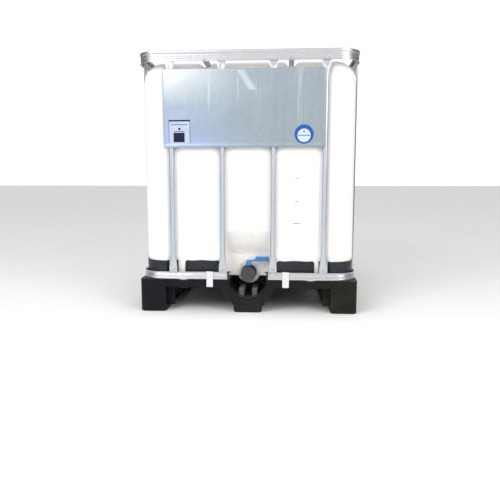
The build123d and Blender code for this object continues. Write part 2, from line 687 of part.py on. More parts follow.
def flats(inset, face_x, face_y):
    """Four shallow upright flats, sloped at their ends, that leave room for the cage tubes."""
    slope = 14.0
    reach = 8.0
    cut = None
    sides = ((0, COLUMN_X, face_y, BOTTLE_HALF_Y), (90, COLUMN_Y, face_x, BOTTLE_HALF_X))
    for turn, span, face, line in sides:
        outline = [(-span - inset, -line - reach), (span + inset, -line - reach),
                   (span + inset - slope, -face + inset), (-span - inset + slope, -face + inset)]
        flat = Pos(0, 0, DECK_TOP) * extrude(make_face(Polyline(*outline, close=True)), HEIGHT)
        pair = Rot(0, 0, turn) * flat + Rot(0, 0, turn + 180) * flat
        cut = pair if cut is None else cut + pair
    return cut


def bottle_parts():
    """The blow-moulded bottle as its body, its filling neck with the dish and the square of top round it,
    and its valve recess with the sump, outlet neck and the floor beside them; the three meet face to
    face along the walls' thickness."""
    shell = bottle_form(0) - bottle_form(BOTTLE_WALL)
    shell += rod_z(NECK_R, NECK_BASE_Z - BOTTLE_WALL, NECK_TOP_Z)
    shell -= rod_z(NECK_BORE_R, NECK_BASE_Z - 20, NECK_TOP_Z + 1)
    shell += rod_y(OUTLET_NECK_R, NECK_FACE_Y, NECK_FACE_Y + 13, 0, OUTLET_Z)
    shell -= rod_y(OUTLET_BORE_R, NECK_FACE_Y - 1, NECK_FACE_Y + 20, 0, OUTLET_Z)
    half = NECK_SQUARE / 2
    neck = block(-half, half, -half, half, NECK_BASE_Z - BOTTLE_WALL, HEIGHT)
    recess = valve_pocket(BOTTLE_WALL)
    floor = DECK_TOP + TRAY_FLOOR
    recess_x = POCKET_HALF + BOTTLE_WALL
    recess += block(-recess_x, recess_x, POCKET_BACK_Y, SUMP_FLOOR_Y, floor - SUMP_R, floor + BOTTLE_WALL)
    return shell - neck - recess, shell & neck, shell & recess


def valve_pocket(grow):
    """The sloping pocket in the bottle's front that the valve stands in, grown outwards."""
    back = POCKET_BACK_Y + grow
    outline = [(-HALF_Y - 1, 100), (back, 100), (back, POCKET_BEND_Z + grow),
               (-HALF_Y - 1, POCKET_TOP_Z + POCKET_RISE + grow)]
    return profile_along_x(outline, -POCKET_HALF - grow, POCKET_HALF + grow)


# ---- filling lid ----
def lid_gasket():
    """Flat ring between the neck and the lid."""
    ring = rod_z(NECK_R, NECK_TOP_Z, NECK_TOP_Z + GASKET)
    return ring - rod_z(NECK_BORE_R, NECK_TOP_Z, NECK_TOP_Z + GASKET)


def lid():
    """Screw lid: skirt, plate, raised rim and three grip bars."""
    plate_z = NECK_TOP_Z + GASKET
    body = rod_z(LID_R, LID_SKIRT_BOTTOM, LID_TOP_Z)
    body -= rod_z(NECK_R + 0.5, LID_SKIRT_BOTTOM - 1, plate_z)
    body -= rod_z(LID_R - 7, plate_z + LID_PLATE, LID_TOP_Z + 1)
    for angle in (0, 60, 120):
        bar = block(-LID_R + 4, LID_R - 4, -3, 3, plate_z + LID_PLATE, LID_TOP_Z - 3)
        body += Rot(0, 0, angle) * bar
    body -= rod_z(VENT_R + 4, plate_z + LID_PLATE, LID_TOP_Z + 1)
    body -= rod_z(VENT_R - 4 + HOLE_CLEARANCE, plate_z - 1, LID_TOP_Z + 1)
    return body


def vent_plug():
    """Vent plug in the middle of the lid."""
    head_z = NECK_TOP_Z + GASKET + LID_PLATE
    plug = rod_z(VENT_R, head_z, head_z + 8) + rod_z(VENT_R - 4, head_z - LID_PLATE - 6, head_z)
    return plug - Pos(0, 0, head_z + 6) * Box(30, 8, 5)


# ---- outlet valve ----
def flange_gasket():
    """Ring between the bottle's outlet neck and the valve."""
    ring = rod_y(OUTLET_NECK_R, VALVE_BACK_Y, NECK_FACE_Y, 0, OUTLET_Z)
    return ring - rod_y(OUTLET_BORE_R, VALVE_BACK_Y, NECK_FACE_Y, 0, OUTLET_Z)


def valve_body():
    """Straight body with a back flange, a spindle neck and a threaded mouth."""
    body = rod_y(THREAD_R, VALVE_MOUTH_Y, VALVE_BACK_Y, 0, OUTLET_Z)
    body += rod_y(FLANGE_R, VALVE_BACK_Y - 6, VALVE_BACK_Y, 0, OUTLET_Z)
    body += Pos(0, SPINDLE_Y, OUTLET_Z) * Cylinder(13, 2 * THREAD_R + 8)
    body += rod_z(11, OUTLET_Z + THREAD_R, OUTLET_Z + THREAD_R + SPINDLE_NECK, 0, SPINDLE_Y)
    body -= rod_y(OUTLET_BORE_R, VALVE_MOUTH_Y - 1, VALVE_BACK_Y + 1, 0, OUTLET_Z)
    hole_top = OUTLET_Z + THREAD_R + SPINDLE_NECK + 1
    return body - rod_z(SPINDLE_R + SPINDLE_FIT, OUTLET_Z - THREAD_R, hole_top, 0, SPINDLE_Y)


def union_nut():
    """Ring nut that pulls the valve flange onto the outlet neck."""
    nut = rod_y(NUT_R, VALVE_BACK_Y - 9, NECK_FACE_Y + 10, 0, OUTLET_Z)
    nut -= rod_y(FLANGE_R + HOLE_CLEARANCE, VALVE_BACK_Y - 6, VALVE_BACK_Y + 1, 0, OUTLET_Z)
    nut -= rod_y(OUTLET_NECK_R + 1, VALVE_BACK_Y - 11, NECK_FACE_Y + 11, 0, OUTLET_Z)
    for index in range(12):
        notch = Rot(0, 30 * index, 0) * Pos(0, 0, NUT_R) * Box(5, 60, 3)
        nut -= Pos(0, VALVE_BACK_Y, OUTLET_Z) * notch
    return nut


def butterfly_disc():
    """Round disc across the bore, bored for its spindle."""
    disc = rod_y(OUTLET_BORE_R - 0.4, SPINDLE_Y - 2.5, SPINDLE_Y + 2.5, 0, OUTLET_Z)
    disc += rod_z(SPINDLE_R + 3, OUTLET_Z - 23.5, OUTLET_Z + 23.5, 0, SPINDLE_Y)
    return disc - rod_z(SPINDLE_R, OUTLET_Z - 30, OUTLET_Z + 30, 0, SPINDLE_Y)


def valve_spindle():
    """Upright spindle through the body and the disc, into the lever's hub."""
    return rod_z(SPINDLE_R, OUTLET_Z - THREAD_R + 1, LEVER_BASE_Z - 4, 0, SPINDLE_Y)


def valve_lever():
    """Blue lever: a tall tapered hub on the spindle, a thin rising arm and a flanged blade towards +X
    whose near end is slanted."""
    hub_z = OUTLET_Z + THREAD_R + SPINDLE_NECK + 0.5
    hub_top = LEVER_BASE_Z + 4
    hub = Pos(0, SPINDLE_Y, (hub_z + hub_top) / 2) * Cone(*HUB_R, hub_top - hub_z)
    arm_end = BLADE_X0 + LEVER_WALL
    arm = make_face(Polyline((5, hub_top - 9), (8, hub_top - 9), (arm_end, LEVER_BASE_Z + 1),
                             (arm_end, LEVER_BASE_Z + 7), (5, hub_top), close=True))
    front = Plane(origin=(0, SPINDLE_Y + LEVER_HALF - 4, 0), x_dir=(1, 0, 0), z_dir=(0, -1, 0))
    lever = hub + extrude(front * arm, 2 * (LEVER_HALF - 4))
    side = make_face(Polyline((BLADE_X0, LEVER_BASE_Z), (LEVER_REACH, LEVER_BASE_Z),
                              (LEVER_REACH, LEVER_TOP_Z), (BLADE_X0 + BLADE_SLANT, LEVER_TOP_Z),
                              close=True))
    edge = Plane(origin=(0, SPINDLE_Y + LEVER_HALF, 0), x_dir=(1, 0, 0), z_dir=(0, -1, 0))
    blade = extrude(edge * side, 2 * LEVER_HALF)
    tip = blade.edges().filter_by(Axis.Z).group_by(Axis.X)[-1]
    blade = fillet(tip, 8)
    half = LEVER_HALF - LEVER_WALL
    hollow = block(BLADE_X0 + BLADE_SLANT + LEVER_WALL, LEVER_REACH - LEVER_WALL, SPINDLE_Y - half,
                   SPINDLE_Y + half, LEVER_BASE_Z - 1, LEVER_TOP_Z - LEVER_WALL - 1)
    lever += blade - hollow
    lever -= rod_z(SPINDLE_R, hub_z - 1, LEVER_BASE_Z - 4, 0, SPINDLE_Y)
    return lever - rod_z(1.8, LEVER_BASE_Z - 10, hub_top + 1, 0, SPINDLE_Y)


def lever_screw():
    """Pan-head screw on top of the hub."""
    hub_top = LEVER_BASE_Z + 4
    head = rod_z(4.5, hub_top, hub_top + 3, 0, SPINDLE_Y)
    return head + rod_z(1.8, LEVER_BASE_Z - 4, hub_top, 0, SPINDLE_Y)


def outlet_cap():
    """Ribbed dust cap over the valve's mouth."""
    cap = rod_y(CAP_R - 1, CAP_FRONT_Y, CAP_SKIRT_Y, 0, OUTLET_Z)
    cap -= rod_y(CAP_BORE_R, VALVE_MOUTH_Y - 2, CAP_SKIRT_Y + 1, 0, OUTLET_Z)
    for index in range(36):
        rib = Rot(0, 10 * index, 0) * Pos(0, 0, CAP_R - 1) * Box(2.4, CAP_SKIRT_Y - CAP_FRONT_Y - 3, 2)
        cap += Pos(0, (CAP_FRONT_Y + CAP_SKIRT_Y) / 2 + 1.5, OUTLET_Z) * rib
    return cap - rod_y(3, CAP_FRONT_Y - 1, CAP_FRONT_Y + 1, 0, OUTLET_Z)


def cap_gasket():
    """Ring between the mouth and the cap."""
    ring = rod_y(THREAD_R, VALVE_MOUTH_Y - 2, VALVE_MOUTH_Y, 0, OUTLET_Z)
    return ring - rod_y(OUTLET_BORE_R, VALVE_MOUTH_Y - 2, VALVE_MOUTH_Y, 0, OUTLET_Z)


def main():
    os.makedirs("parts", exist_ok=True)
    for name, shape in pallet_parts().items():
        write(shape, name)
    write(valve_well(), "valve_well")
    write(Compound([skid(x0, x1) for x0, x1 in POST_ROWS.values()]), "skids")
    write(skid_screws(), "skid_screws")
    write(bottom_ring(), "bottom_ring")
    write(ring_end_caps(), "ring_end_caps")
    write(top_ring(), "top_ring")
    write(ring_joint_plate(), "ring_joint_plate")
    write(ring_clips(), "ring_clips")
    tube = cage_tube()
    for name, x, y, turn in around_cage():
        write(Pos(x, y, 0) * Rot(0, 0, turn) * tube, name)
    write(tube_fasteners(), "tube_fasteners")
    for name, x in CROSSBAR_NAMES.items():
        write(crossbar(x), name)
    write(crossbar_bolts(), "crossbar_bolts")
    write(label_plate(), "label_plate")
    write(plate_clips(), "plate_clips")
    write(plate_labels(), "plate_labels")
    write(tray_floor(), "tray_floor")
    for name, panel in {**corner_panels(), **rim_panels()}.items():
        write(panel, name)
    body, neck, recess = bottle_parts()
    write(body, "bottle")
    write(neck, "filling_neck")
    write(recess, "valve_recess")
    write(lid_gasket(), "lid_gasket")
    write(lid(), "lid")
    write(vent_plug(), "vent_plug")
    write(flange_gasket(), "flange_gasket")
    write(valve_body(), "valve_body")
    write(union_nut(), "union_nut")
    write(butterfly_disc(), "butterfly_disc")
    write(valve_spindle(), "valve_spindle")
    write(valve_lever(), "valve_lever")
    write(lever_screw(), "lever_screw")
    write(outlet_cap(), "outlet_cap")
    write(cap_gasket(), "cap_gasket")


main()
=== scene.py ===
import json

import bmesh
import bpy
import numpy as np
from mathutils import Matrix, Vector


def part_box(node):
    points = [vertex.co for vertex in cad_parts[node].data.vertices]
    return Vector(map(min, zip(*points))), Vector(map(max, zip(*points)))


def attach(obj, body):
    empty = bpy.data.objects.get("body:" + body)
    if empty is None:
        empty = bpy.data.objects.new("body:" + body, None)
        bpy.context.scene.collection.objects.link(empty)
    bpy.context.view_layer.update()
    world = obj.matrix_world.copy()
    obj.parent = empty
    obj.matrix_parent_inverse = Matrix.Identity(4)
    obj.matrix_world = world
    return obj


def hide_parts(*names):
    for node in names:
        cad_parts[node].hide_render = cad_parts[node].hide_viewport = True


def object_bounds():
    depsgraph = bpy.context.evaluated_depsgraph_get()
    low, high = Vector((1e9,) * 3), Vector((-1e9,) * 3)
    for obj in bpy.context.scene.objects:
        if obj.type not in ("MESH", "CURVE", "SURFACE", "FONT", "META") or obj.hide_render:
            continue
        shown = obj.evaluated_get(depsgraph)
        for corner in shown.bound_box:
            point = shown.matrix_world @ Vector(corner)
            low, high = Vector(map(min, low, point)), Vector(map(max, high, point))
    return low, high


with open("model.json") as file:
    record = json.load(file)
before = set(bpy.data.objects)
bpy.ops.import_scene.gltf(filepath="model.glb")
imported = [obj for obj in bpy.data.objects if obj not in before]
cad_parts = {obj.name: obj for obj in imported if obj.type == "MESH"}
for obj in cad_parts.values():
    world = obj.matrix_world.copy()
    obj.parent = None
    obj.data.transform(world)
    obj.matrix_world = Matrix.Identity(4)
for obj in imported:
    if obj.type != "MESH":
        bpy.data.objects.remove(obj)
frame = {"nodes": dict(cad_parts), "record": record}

# Palletised liquid container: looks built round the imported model. Metres, +Z up, valve side -Y.
CAD_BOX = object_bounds()
BODIES = frame["record"]["behaviour"]["bodies"]
BODY_OF = {node: body for body, nodes in BODIES.items() for node in nodes}
MM = 0.001

TUBES = [node for node in sorted(frame["nodes"]) if "_tube_" in node]
FRONT_TUBES = [node for node in TUBES if node.startswith(("front", "back"))]
SIDE_TUBES = [node for node in TUBES if node.startswith(("left", "right"))]
OUTWARD = {"front": (0, -1), "back": (0, 1), "left": (-1, 0), "right": (1, 0)}


def middle_of(node):
    """The middle of a node's box."""
    low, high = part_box(node)
    return (low + high) / 2


FRONT_TUBE_X = sorted({round(middle_of(node).x, 3) for node in FRONT_TUBES})
SIDE_TUBE_Y = sorted({round(middle_of(node).y, 3) for node in SIDE_TUBES})


# ---- shapes ----
def ease(low, high, value):
    """0 below low, 1 above high, and the cubic 3t^2 - 2t^3 between."""
    share = np.clip((value - low) / (high - low), 0, 1)
    return share * share * (3 - 2 * share)


def hump(value, centre, half):
    """A cosine hump, 1 at the centre and 0 from half away."""
    return 0.5 + 0.5 * np.cos(np.pi * np.clip((value - centre) / half, -1, 1))


def arc(centre, radius, start, end, count):
    """Points on a circle from the start angle to the end angle, in degrees."""
    angle = np.radians(np.linspace(start, end, count))
    return np.stack([centre[0] + radius * np.cos(angle), centre[1] + radius * np.sin(angle)], axis=1)


def chain(*runs):
    """Runs of outline points, one after another, as one array."""
    return np.concatenate([np.asarray(run, float).reshape(-1, 2) for run in runs])


def thickened(line, sheet):
    """A closed outline half a sheet either side of a line, along the line's own normals."""
    run = np.gradient(line, axis=0)
    normal = np.stack([-run[:, 1], run[:, 0]], axis=1) / np.linalg.norm(run, axis=1)[:, None]
    return np.concatenate([line + normal * sheet / 2, (line - normal * sheet / 2)[::-1]])


def grid_faces(rows, columns, wrap_rows=False, wrap_columns=False):
    """Quads over a grid of points stored row by row; a wrapped direction joins its end to its start."""
    row, column = np.meshgrid(np.arange(rows if wrap_rows else rows - 1),
                              np.arange(columns if wrap_columns else columns - 1), indexing="ij")
    row, column = row.ravel(), column.ravel()
    next_row, next_column = (row + 1) % rows, (column + 1) % columns
    return np.stack([row * columns + column, next_row * columns + column,
                     next_row * columns + next_column, row * columns + next_column], axis=1)


def surface(points, wrap_rows=False, wrap_columns=False, caps=False):
    """A shell from points[row, column, xyz]; caps close the first and last row with a flat face each."""
    rows, columns = points.shape[:2]
    faces = grid_faces(rows, columns, wrap_rows, wrap_columns).tolist()
    if caps:
        faces += [list(range(columns)), list(range((rows - 1) * columns, rows * columns))]
    return points.reshape(-1, 3), faces


def piece(name, shells, material, body="container", replaces=(), crease=35.0):
    """One object from one or more shells, with doubles merged, faces outwards and soft shading."""
    verts, faces, offset = [], [], 0
    for points, quads in shells:
        verts.append(points)
        faces += [[index + offset for index in face] for face in quads]
        offset += len(points)
    mesh = bpy.data.meshes.new(name)
    mesh.from_pydata(np.concatenate(verts).tolist(), [], faces)
    return finished(bpy.data.objects.new(name, mesh), material, body, replaces, crease)


def finished(thing, material, body, replaces, crease):
    """Merges doubles, turns faces outwards, shades by angle, and hangs the piece on its body."""
    shape = bmesh.new()
    shape.from_mesh(thing.data)
    bmesh.ops.remove_doubles(shape, verts=shape.verts, dist=2e-6)
    bmesh.ops.dissolve_degenerate(shape, edges=shape.edges, dist=1e-6)
    bmesh.ops.recalc_face_normals(shape, faces=shape.faces)
    shape.to_mesh(thing.data)
    shape.free()
    bpy.context.scene.collection.objects.link(thing)
    thing.data.materials.clear()
    thing.data.materials.append(material)
    thing.data.shade_smooth()
    thing.data.set_sharp_from_angle(angle=np.radians(crease))
    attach(thing, body)
    if replaces:
        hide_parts(*replaces)
    return thing


def welded_copy(node):
    """A copy of a node's mesh with its loose triangles joined."""
    copy = bpy.data.objects.new("soft_" + node, frame["nodes"][node].data.copy())
    shape = bmesh.new()
    shape.from_mesh(copy.data)
    bmesh.ops.remove_doubles(shape, verts=shape.verts, dist=1e-5)
    shape.to_mesh(copy.data)
    shape.free()
    return copy


def united(nodes):
    """The welded copies of nodes that meet face to face, as one closed mesh."""
    copies = [welded_copy(node) for node in nodes]
    for thing in copies:
        bpy.context.scene.collection.objects.link(thing)
    for other in copies[1:]:
        join = copies[0].modifiers.new("join_" + other.name, "BOOLEAN")
        join.operation, join.solver, join.object = "UNION", "EXACT", other
    bpy.context.view_layer.update()
    graph = bpy.context.evaluated_depsgraph_get()
    mesh = bpy.data.meshes.new_from_object(copies[0].evaluated_get(graph))
    for thing in copies:
        bpy.data.objects.remove(thing)
    return bpy.data.objects.new("soft_" + nodes[0], mesh)


def softened(node, material, width=0.0015, crease=35.0, segments=2, with_nodes=()):
    """A copy of a rigid node with its flat faces joined and its sharp edges rounded by a bevel."""
    stands_for = [node, *with_nodes]
    copy = united(stands_for) if with_nodes else welded_copy(node)
    shape = bmesh.new()
    shape.from_mesh(copy.data)
    bmesh.ops.dissolve_limit(shape, angle_limit=np.radians(1.0), verts=shape.verts, edges=shape.edges)
    shape.to_mesh(copy.data)
    shape.free()
    finished(copy, material, BODY_OF[node], stands_for, crease)
    edge = copy.modifiers.new("edge", "BEVEL")
    edge.width = width
    edge.segments = segments
    edge.limit_method = "ANGLE"
    edge.angle_limit = np.radians(30)
    edge.use_clamp_overlap = True
    edge.harden_normals = False
    return copy


def dressed(node, material):
    """A node whose modelled shape is right keeps it and gets its finish."""
    thing = frame["nodes"][node]
    thing.data.materials.clear()
    thing.data.materials.append(material)
    return thing


def cage_line(half_x, half_y, radius, distance):
    """Point and outward direction on a rounded rectangle, a distance round it from the middle of its
    front towards +X: straight, quarter circle, straight, and the same mirrored and turned."""
    flat_x, flat_y = half_x - radius, half_y - radius
    quarter = flat_x + radius * np.pi / 2 + flat_y
    distance = np.mod(distance, 4 * quarter)
    turn = (distance // (2 * quarter)).astype(int)
    within = distance - turn * 2 * quarter
    mirrored = within > quarter
    along = np.where(mirrored, 2 * quarter - within, within)
    angle = np.clip((along - flat_x) / radius, 0, np.pi / 2)
    x = np.minimum(along, flat_x) + radius * np.sin(angle)
    y = -flat_y - radius * np.cos(angle) + np.maximum(along - flat_x - radius * np.pi / 2, 0)
    out_x, out_y = np.sin(angle), -np.cos(angle)
    flip = np.where(mirrored, -1.0, 1.0)
    sign = np.where(turn == 1, -1.0, 1.0)
    point = np.stack([x * sign, y * flip * sign], axis=-1)
    normal = np.stack([out_x * sign, out_y * flip * sign], axis=-1)
    return point, normal, 4 * quarter


def revolved(profile, around=64, ripple=None):
    """A profile of (radius, height) turned about Z; ripple(angle, radius, height) adds to the radius."""
    angle = np.linspace(0, 2 * np.pi, around, endpoint=False)[:, None]
    radius, height = profile[None, :, 0], profile[None, :, 1] + 0 * angle
    full = radius + (ripple(angle, radius, height) if ripple else 0 * angle)
    return np.stack([full * np.cos(angle), full * np.sin(angle), height], axis=-1)


def rounded_block(x0, x1, y0, y1, z0, z1, corner, edge):
    """A block from stacked rounded rectangles whose first and last rows follow a quarter circle."""
    half_x, half_y = (x1 - x0) / 2, (y1 - y0) / 2
    length = cage_line(half_x, half_y, corner, np.zeros(1))[2]
    point, normal, _ = cage_line(half_x, half_y, corner, np.linspace(0, length, 65)[:-1])
    turn = np.radians(np.linspace(0, 90, 5))
    inward, rise = edge * (1 - np.sin(turn)), edge * (1 - np.cos(turn))
    inset = np.concatenate([inward, inward[::-1]])[:, None, None]
    height = np.concatenate([z0 + rise, (z1 - rise)[::-1]])[:, None]
    flat = point[None] - normal[None] * inset + np.array([(x0 + x1) / 2, (y0 + y1) / 2])
    return surface(np.concatenate([flat, (height + 0 * flat[..., 0])[..., None]], axis=-1),
                   wrap_columns=True, caps=True)


def facing(points, out, origin):
    """Turns local (across, up, out) points so that out points along a level direction, at an origin."""
    out_x, out_y = out
    across = np.array([-out_y, out_x])
    flat = points[..., :1] * across + points[..., 2:] * np.array([out_x, out_y])
    return np.concatenate([flat, points[..., 1:2]], axis=-1) + np.array(origin)


# ---- materials ----
class Recipe:
    """A Principled material whose colour, roughness and relief are built from procedural nodes."""

    def __init__(self, name, **sockets):
        self.material = bpy.data.materials.new(name)
        self.material.use_nodes = True
        self.tree = self.material.node_tree
        self.shader = self.tree.nodes["Principled BSDF"]
        self.place = self.tree.nodes.new("ShaderNodeTexCoord").outputs["Object"]
        for socket, value in sockets.items():
            self.shader.inputs[socket.replace("_", " ")].default_value = value

    def node(self, kind, inputs, **settings):
        made = self.tree.nodes.new("ShaderNode" + kind)
        for key, value in settings.items():
            setattr(made, key, value)
        for key, value in inputs.items():
            if isinstance(value, bpy.types.NodeSocket):
                self.tree.links.new(value, made.inputs[key])
            else:
                made.inputs[key].default_value = value
        return made

    def stretched(self, x, y, z):
        return self.node("Mapping", {"Vector": self.place, "Scale": (x, y, z)}).outputs["Vector"]

    def noise(self, scale, detail=4.0, rough=0.55, vector=None):
        return self.node("TexNoise", {"Vector": vector or self.place, "Scale": scale, "Detail": detail,
                                      "Roughness": rough}).outputs["Fac"]

    def cells(self, scale, vector=None):
        voronoi = self.node("TexVoronoi", {"Vector": vector or self.place, "Scale": scale})
        return self.node("SeparateColor", {"Color": voronoi.outputs["Color"]}).outputs[0]

    def ranged(self, value, low, high, to_low=0.0, to_high=1.0):
        return self.node("MapRange", {"Value": value, "From Min": low, "From Max": high,
                                      "To Min": to_low, "To Max": to_high}).outputs["Result"]

    def math(self, operation, a, b=0.0):
        return self.node("Math", {0: a, 1: b}, operation=operation).outputs[0]

    def mixed(self, share, a, b):
        made = self.node("Mix", {"Factor": share}, data_type="RGBA")
        for socket, value in ((made.inputs[6], a), (made.inputs[7], b)):
            if isinstance(value, bpy.types.NodeSocket):
                self.tree.links.new(value, socket)
            else:
                socket.default_value = (*value, 1.0)
        return made.outputs[2]

    def axis(self, which):
        return self.node("SeparateXYZ", {"Vector": self.place}).outputs[which]

    def upward(self):
        normal = self.tree.nodes.new("ShaderNodeNewGeometry").outputs["Normal"]
        return self.node("SeparateXYZ", {"Vector": normal}).outputs[2]

    def near(self, point, inner, outer):
        """1 within inner of a point and 0 from outer away."""
        return self.ranged(self.distance(point), inner, outer, 1.0, 0.0)

    def distance(self, point):
        return self.node("VectorMath", {0: self.place, 1: point}, operation="DISTANCE").outputs["Value"]

    def inside(self, which, low, high):
        """1 where a coordinate lies between two values."""
        value = self.axis(which)
        above = self.math("GREATER_THAN", value, low)
        return self.math("MULTIPLY", above, self.math("LESS_THAN", value, high))

    def colour(self, socket):
        self.tree.links.new(socket, self.shader.inputs["Base Color"])

    def roughness(self, socket):
        self.tree.links.new(socket, self.shader.inputs["Roughness"])

    def relief(self, height, distance, strength=1.0):
        bump = self.node("Bump", {"Height": height, "Distance": distance, "Strength": strength})
        self.tree.links.new(bump.outputs["Normal"], self.shader.inputs["Normal"])


def galvanised(name, tone, dark, rough, spangle, streaks, dirt=0.25, bumps=0.15):
    """Zinc-dipped steel: spangle cells, drawn-out streaks, and brown-grey grime in patches."""
    zinc = Recipe(name, Metallic=0.9)
    cell = zinc.cells(spangle)
    streak = zinc.noise(1.0, 5.0, 0.6, zinc.stretched(*streaks))
    shade = zinc.math("ADD", zinc.math("MULTIPLY", cell, 0.35), zinc.math("MULTIPLY", streak, 0.8))
    body = zinc.mixed(zinc.ranged(shade, 0.25, 0.9), dark, tone)
    grime = zinc.ranged(zinc.noise(9.0, 6.0, 0.7), 0.55, 0.75, 0.0, dirt)
    zinc.colour(zinc.mixed(grime, body, (0.33, 0.29, 0.25)))
    zinc.roughness(zinc.ranged(shade, 0.2, 1.0, rough + 0.12, rough))
    grain = zinc.math("ADD", zinc.noise(220.0, 3.0), zinc.math("MULTIPLY", cell, 0.4))
    zinc.relief(grain, 0.0002, bumps)
    return zinc


def plate_finish():
    """Coated sheet: blue-grey, bluer low on the left, paler at upper left, run marks and a smear."""
    sheet = galvanised("plate_zinc", (0.36, 0.42, 0.465), (0.28, 0.335, 0.38), 0.36, 160.0,
                       (26, 26, 2.2), 0.0, 0.25)
    base = sheet.shader.inputs["Base Color"].links[0].from_socket
    low_left = sheet.math("MULTIPLY", sheet.ranged(sheet.axis(0), 0.05, -0.36),
                          sheet.ranged(sheet.axis(2), 0.98, 0.76))
    high_left = sheet.math("MULTIPLY", sheet.ranged(sheet.axis(0), 0.02, -0.3),
                           sheet.ranged(sheet.axis(2), 0.93, 1.05))
    tinted = sheet.mixed(sheet.math("MULTIPLY", low_left, 0.75), base, (0.33, 0.43, 0.72))
    # The sheet is made paler towards its upper left.
    pale_upper_left = sheet.mixed(sheet.math("MULTIPLY", high_left, 0.8), tinted, (0.60, 0.63, 0.66))
    runs = sheet.ranged(sheet.noise(1.0, 2.0, 0.5, sheet.stretched(46, 46, 1.7)), 0.62, 0.72, 0.0, 0.55)
    upper = sheet.ranged(sheet.axis(2), 0.80, 0.99)
    run_marks = sheet.mixed(sheet.math("MULTIPLY", runs, upper), pale_upper_left, (0.66, 0.70, 0.73))
    slant = sheet.math("ADD", sheet.axis(0), sheet.math("MULTIPLY", sheet.axis(2), 0.62))
    ragged = sheet.math("ADD", slant, sheet.math("MULTIPLY", sheet.noise(30.0, 3.0), 0.02))
    smear = sheet.math("MULTIPLY", sheet.ranged(ragged, 0.63, 0.645), sheet.ranged(ragged, 0.675, 0.66))
    smear_high = sheet.math("MULTIPLY", smear, sheet.inside(2, 1.0, 1.085))
    sheet.colour(sheet.mixed(sheet.math("MULTIPLY", smear_high, 0.5), run_marks, (0.70, 0.73, 0.75)))
    return sheet.material


def bottle_finish():
    """Milky polyethylene: painted warm shade to the right, a faint bloom, a painted pool of light and
    crumpled skin round the outlet.
    """
    milk = Recipe("milky_plastic", Roughness=0.38, Subsurface_Weight=0.25, Subsurface_Scale=0.02)
    milk.shader.inputs["Subsurface Radius"].default_value = (1.0, 0.85, 0.7)
    # Painted light: the colour runs from cool on the left to warm on the right. This is painted shade for
    # how light falls across the bottle.
    painted_side_light = milk.ranged(milk.axis(0), -0.5, 0.5)
    body = milk.mixed(painted_side_light, (0.86, 0.87, 0.88), (0.90, 0.87, 0.84))
    bloom = milk.ranged(milk.noise(6.0, 5.0, 0.6), 0.35, 0.75, 0.0, 0.35)
    cloudy = milk.mixed(bloom, body, (0.87, 0.85, 0.81))
    # Painted light: round the valve pocket the colour is lifted paler and warmer. This is a painted pool
    # of light in the shaded recess.
    painted_light_round_valve = milk.near((0.0, -0.52, 0.22), 0.09, 0.21)
    milk.colour(milk.mixed(milk.math("MULTIPLY", painted_light_round_valve, 0.75), cloudy, (0.93, 0.90, 0.85)))
    by_valve = milk.near((0.0, -0.52, 0.25), 0.07, 0.15)
    crumple = milk.math("MULTIPLY", milk.noise(55.0, 4.0, 0.55), by_valve)
    skin = milk.math("ADD", milk.math("MULTIPLY", milk.noise(160.0, 3.0), 0.03),
                     milk.math("MULTIPLY", milk.noise(7.0, 3.0), 0.12))
    milk.relief(milk.math("ADD", crumple, skin), 0.012, 0.6)
    milk.roughness(milk.ranged(milk.noise(14.0, 4.0), 0.3, 0.7, 0.3, 0.46))
    return milk.material


def moulded(name, tone, dusty, rough, dust=0.5, grain=420.0, scale=8.0, shine=0.35):
    """Moulded plastic: cloudy tone, fine grain, and dust that settles on faces that look up."""
    plastic = Recipe(name, Roughness=rough, Specular_IOR_Level=shine)
    cloud = plastic.ranged(plastic.noise(scale, 5.0, 0.65), 0.3, 0.75)
    body = plastic.mixed(plastic.math("MULTIPLY", cloud, 0.55), tone, dusty)
    settled = plastic.math("MULTIPLY", plastic.ranged(plastic.upward(), 0.3, 1.0),
                           plastic.ranged(plastic.noise(25.0, 4.0), 0.3, 0.7, 0.3, 1.0))
    plastic.colour(plastic.mixed(plastic.math("MULTIPLY", settled, dust), body, dusty))
    plastic.roughness(plastic.ranged(plastic.noise(30.0, 4.0), 0.3, 0.7, rough - 0.08, rough + 0.12))
    plastic.relief(plastic.noise(grain, 2.0), 0.0002, 0.4)
    return plastic.material


def pallet_finish():
    """Black pallet plastic: scuffed, a painted blue-lilac sheen to the left and brown dust to the right.
    """
    black = Recipe("pallet_black", Roughness=0.42, Specular_IOR_Level=0.16)
    # Painted light: the left end of both the base tone and the dust colour is tinted blue-lilac, a
    # painted sheen; the brown to the right is dust.
    side = black.ranged(black.axis(0), -0.45, 0.45)
    tone = black.mixed(side, (0.003, 0.003, 0.006), (0.008, 0.007, 0.005))
    dusty = black.mixed(side, (0.013, 0.014, 0.026), (0.040, 0.034, 0.026))
    patches = black.ranged(black.noise(7.0, 6.0, 0.7), 0.38, 0.72, 0.0, 0.75)
    lower = black.ranged(black.axis(2), 0.11, 0.02, 0.25, 1.0)
    body = black.mixed(black.math("MULTIPLY", patches, lower), tone, dusty)
    lines = black.noise(1.0, 4.0, 0.7, black.stretched(14, 14, 190))
    scratch = black.ranged(lines, 0.66, 0.74, 0.0, 0.35)
    scuffed = black.mixed(scratch, body, (0.045, 0.045, 0.045))
    settled = black.math("MULTIPLY", black.ranged(black.upward(), 0.4, 1.0), 0.45)
    black.colour(black.mixed(settled, scuffed, (0.085, 0.08, 0.075)))
    black.roughness(black.ranged(black.noise(20.0, 5.0), 0.3, 0.7, 0.32, 0.55))
    black.relief(black.noise(300.0, 3.0), 0.0002, 0.4)
    return black.material


SQUARE_LABEL = (0.096, 0.102)
ROUND_LABEL_R = 0.042
ROUND_LABEL_DROP = 0.005


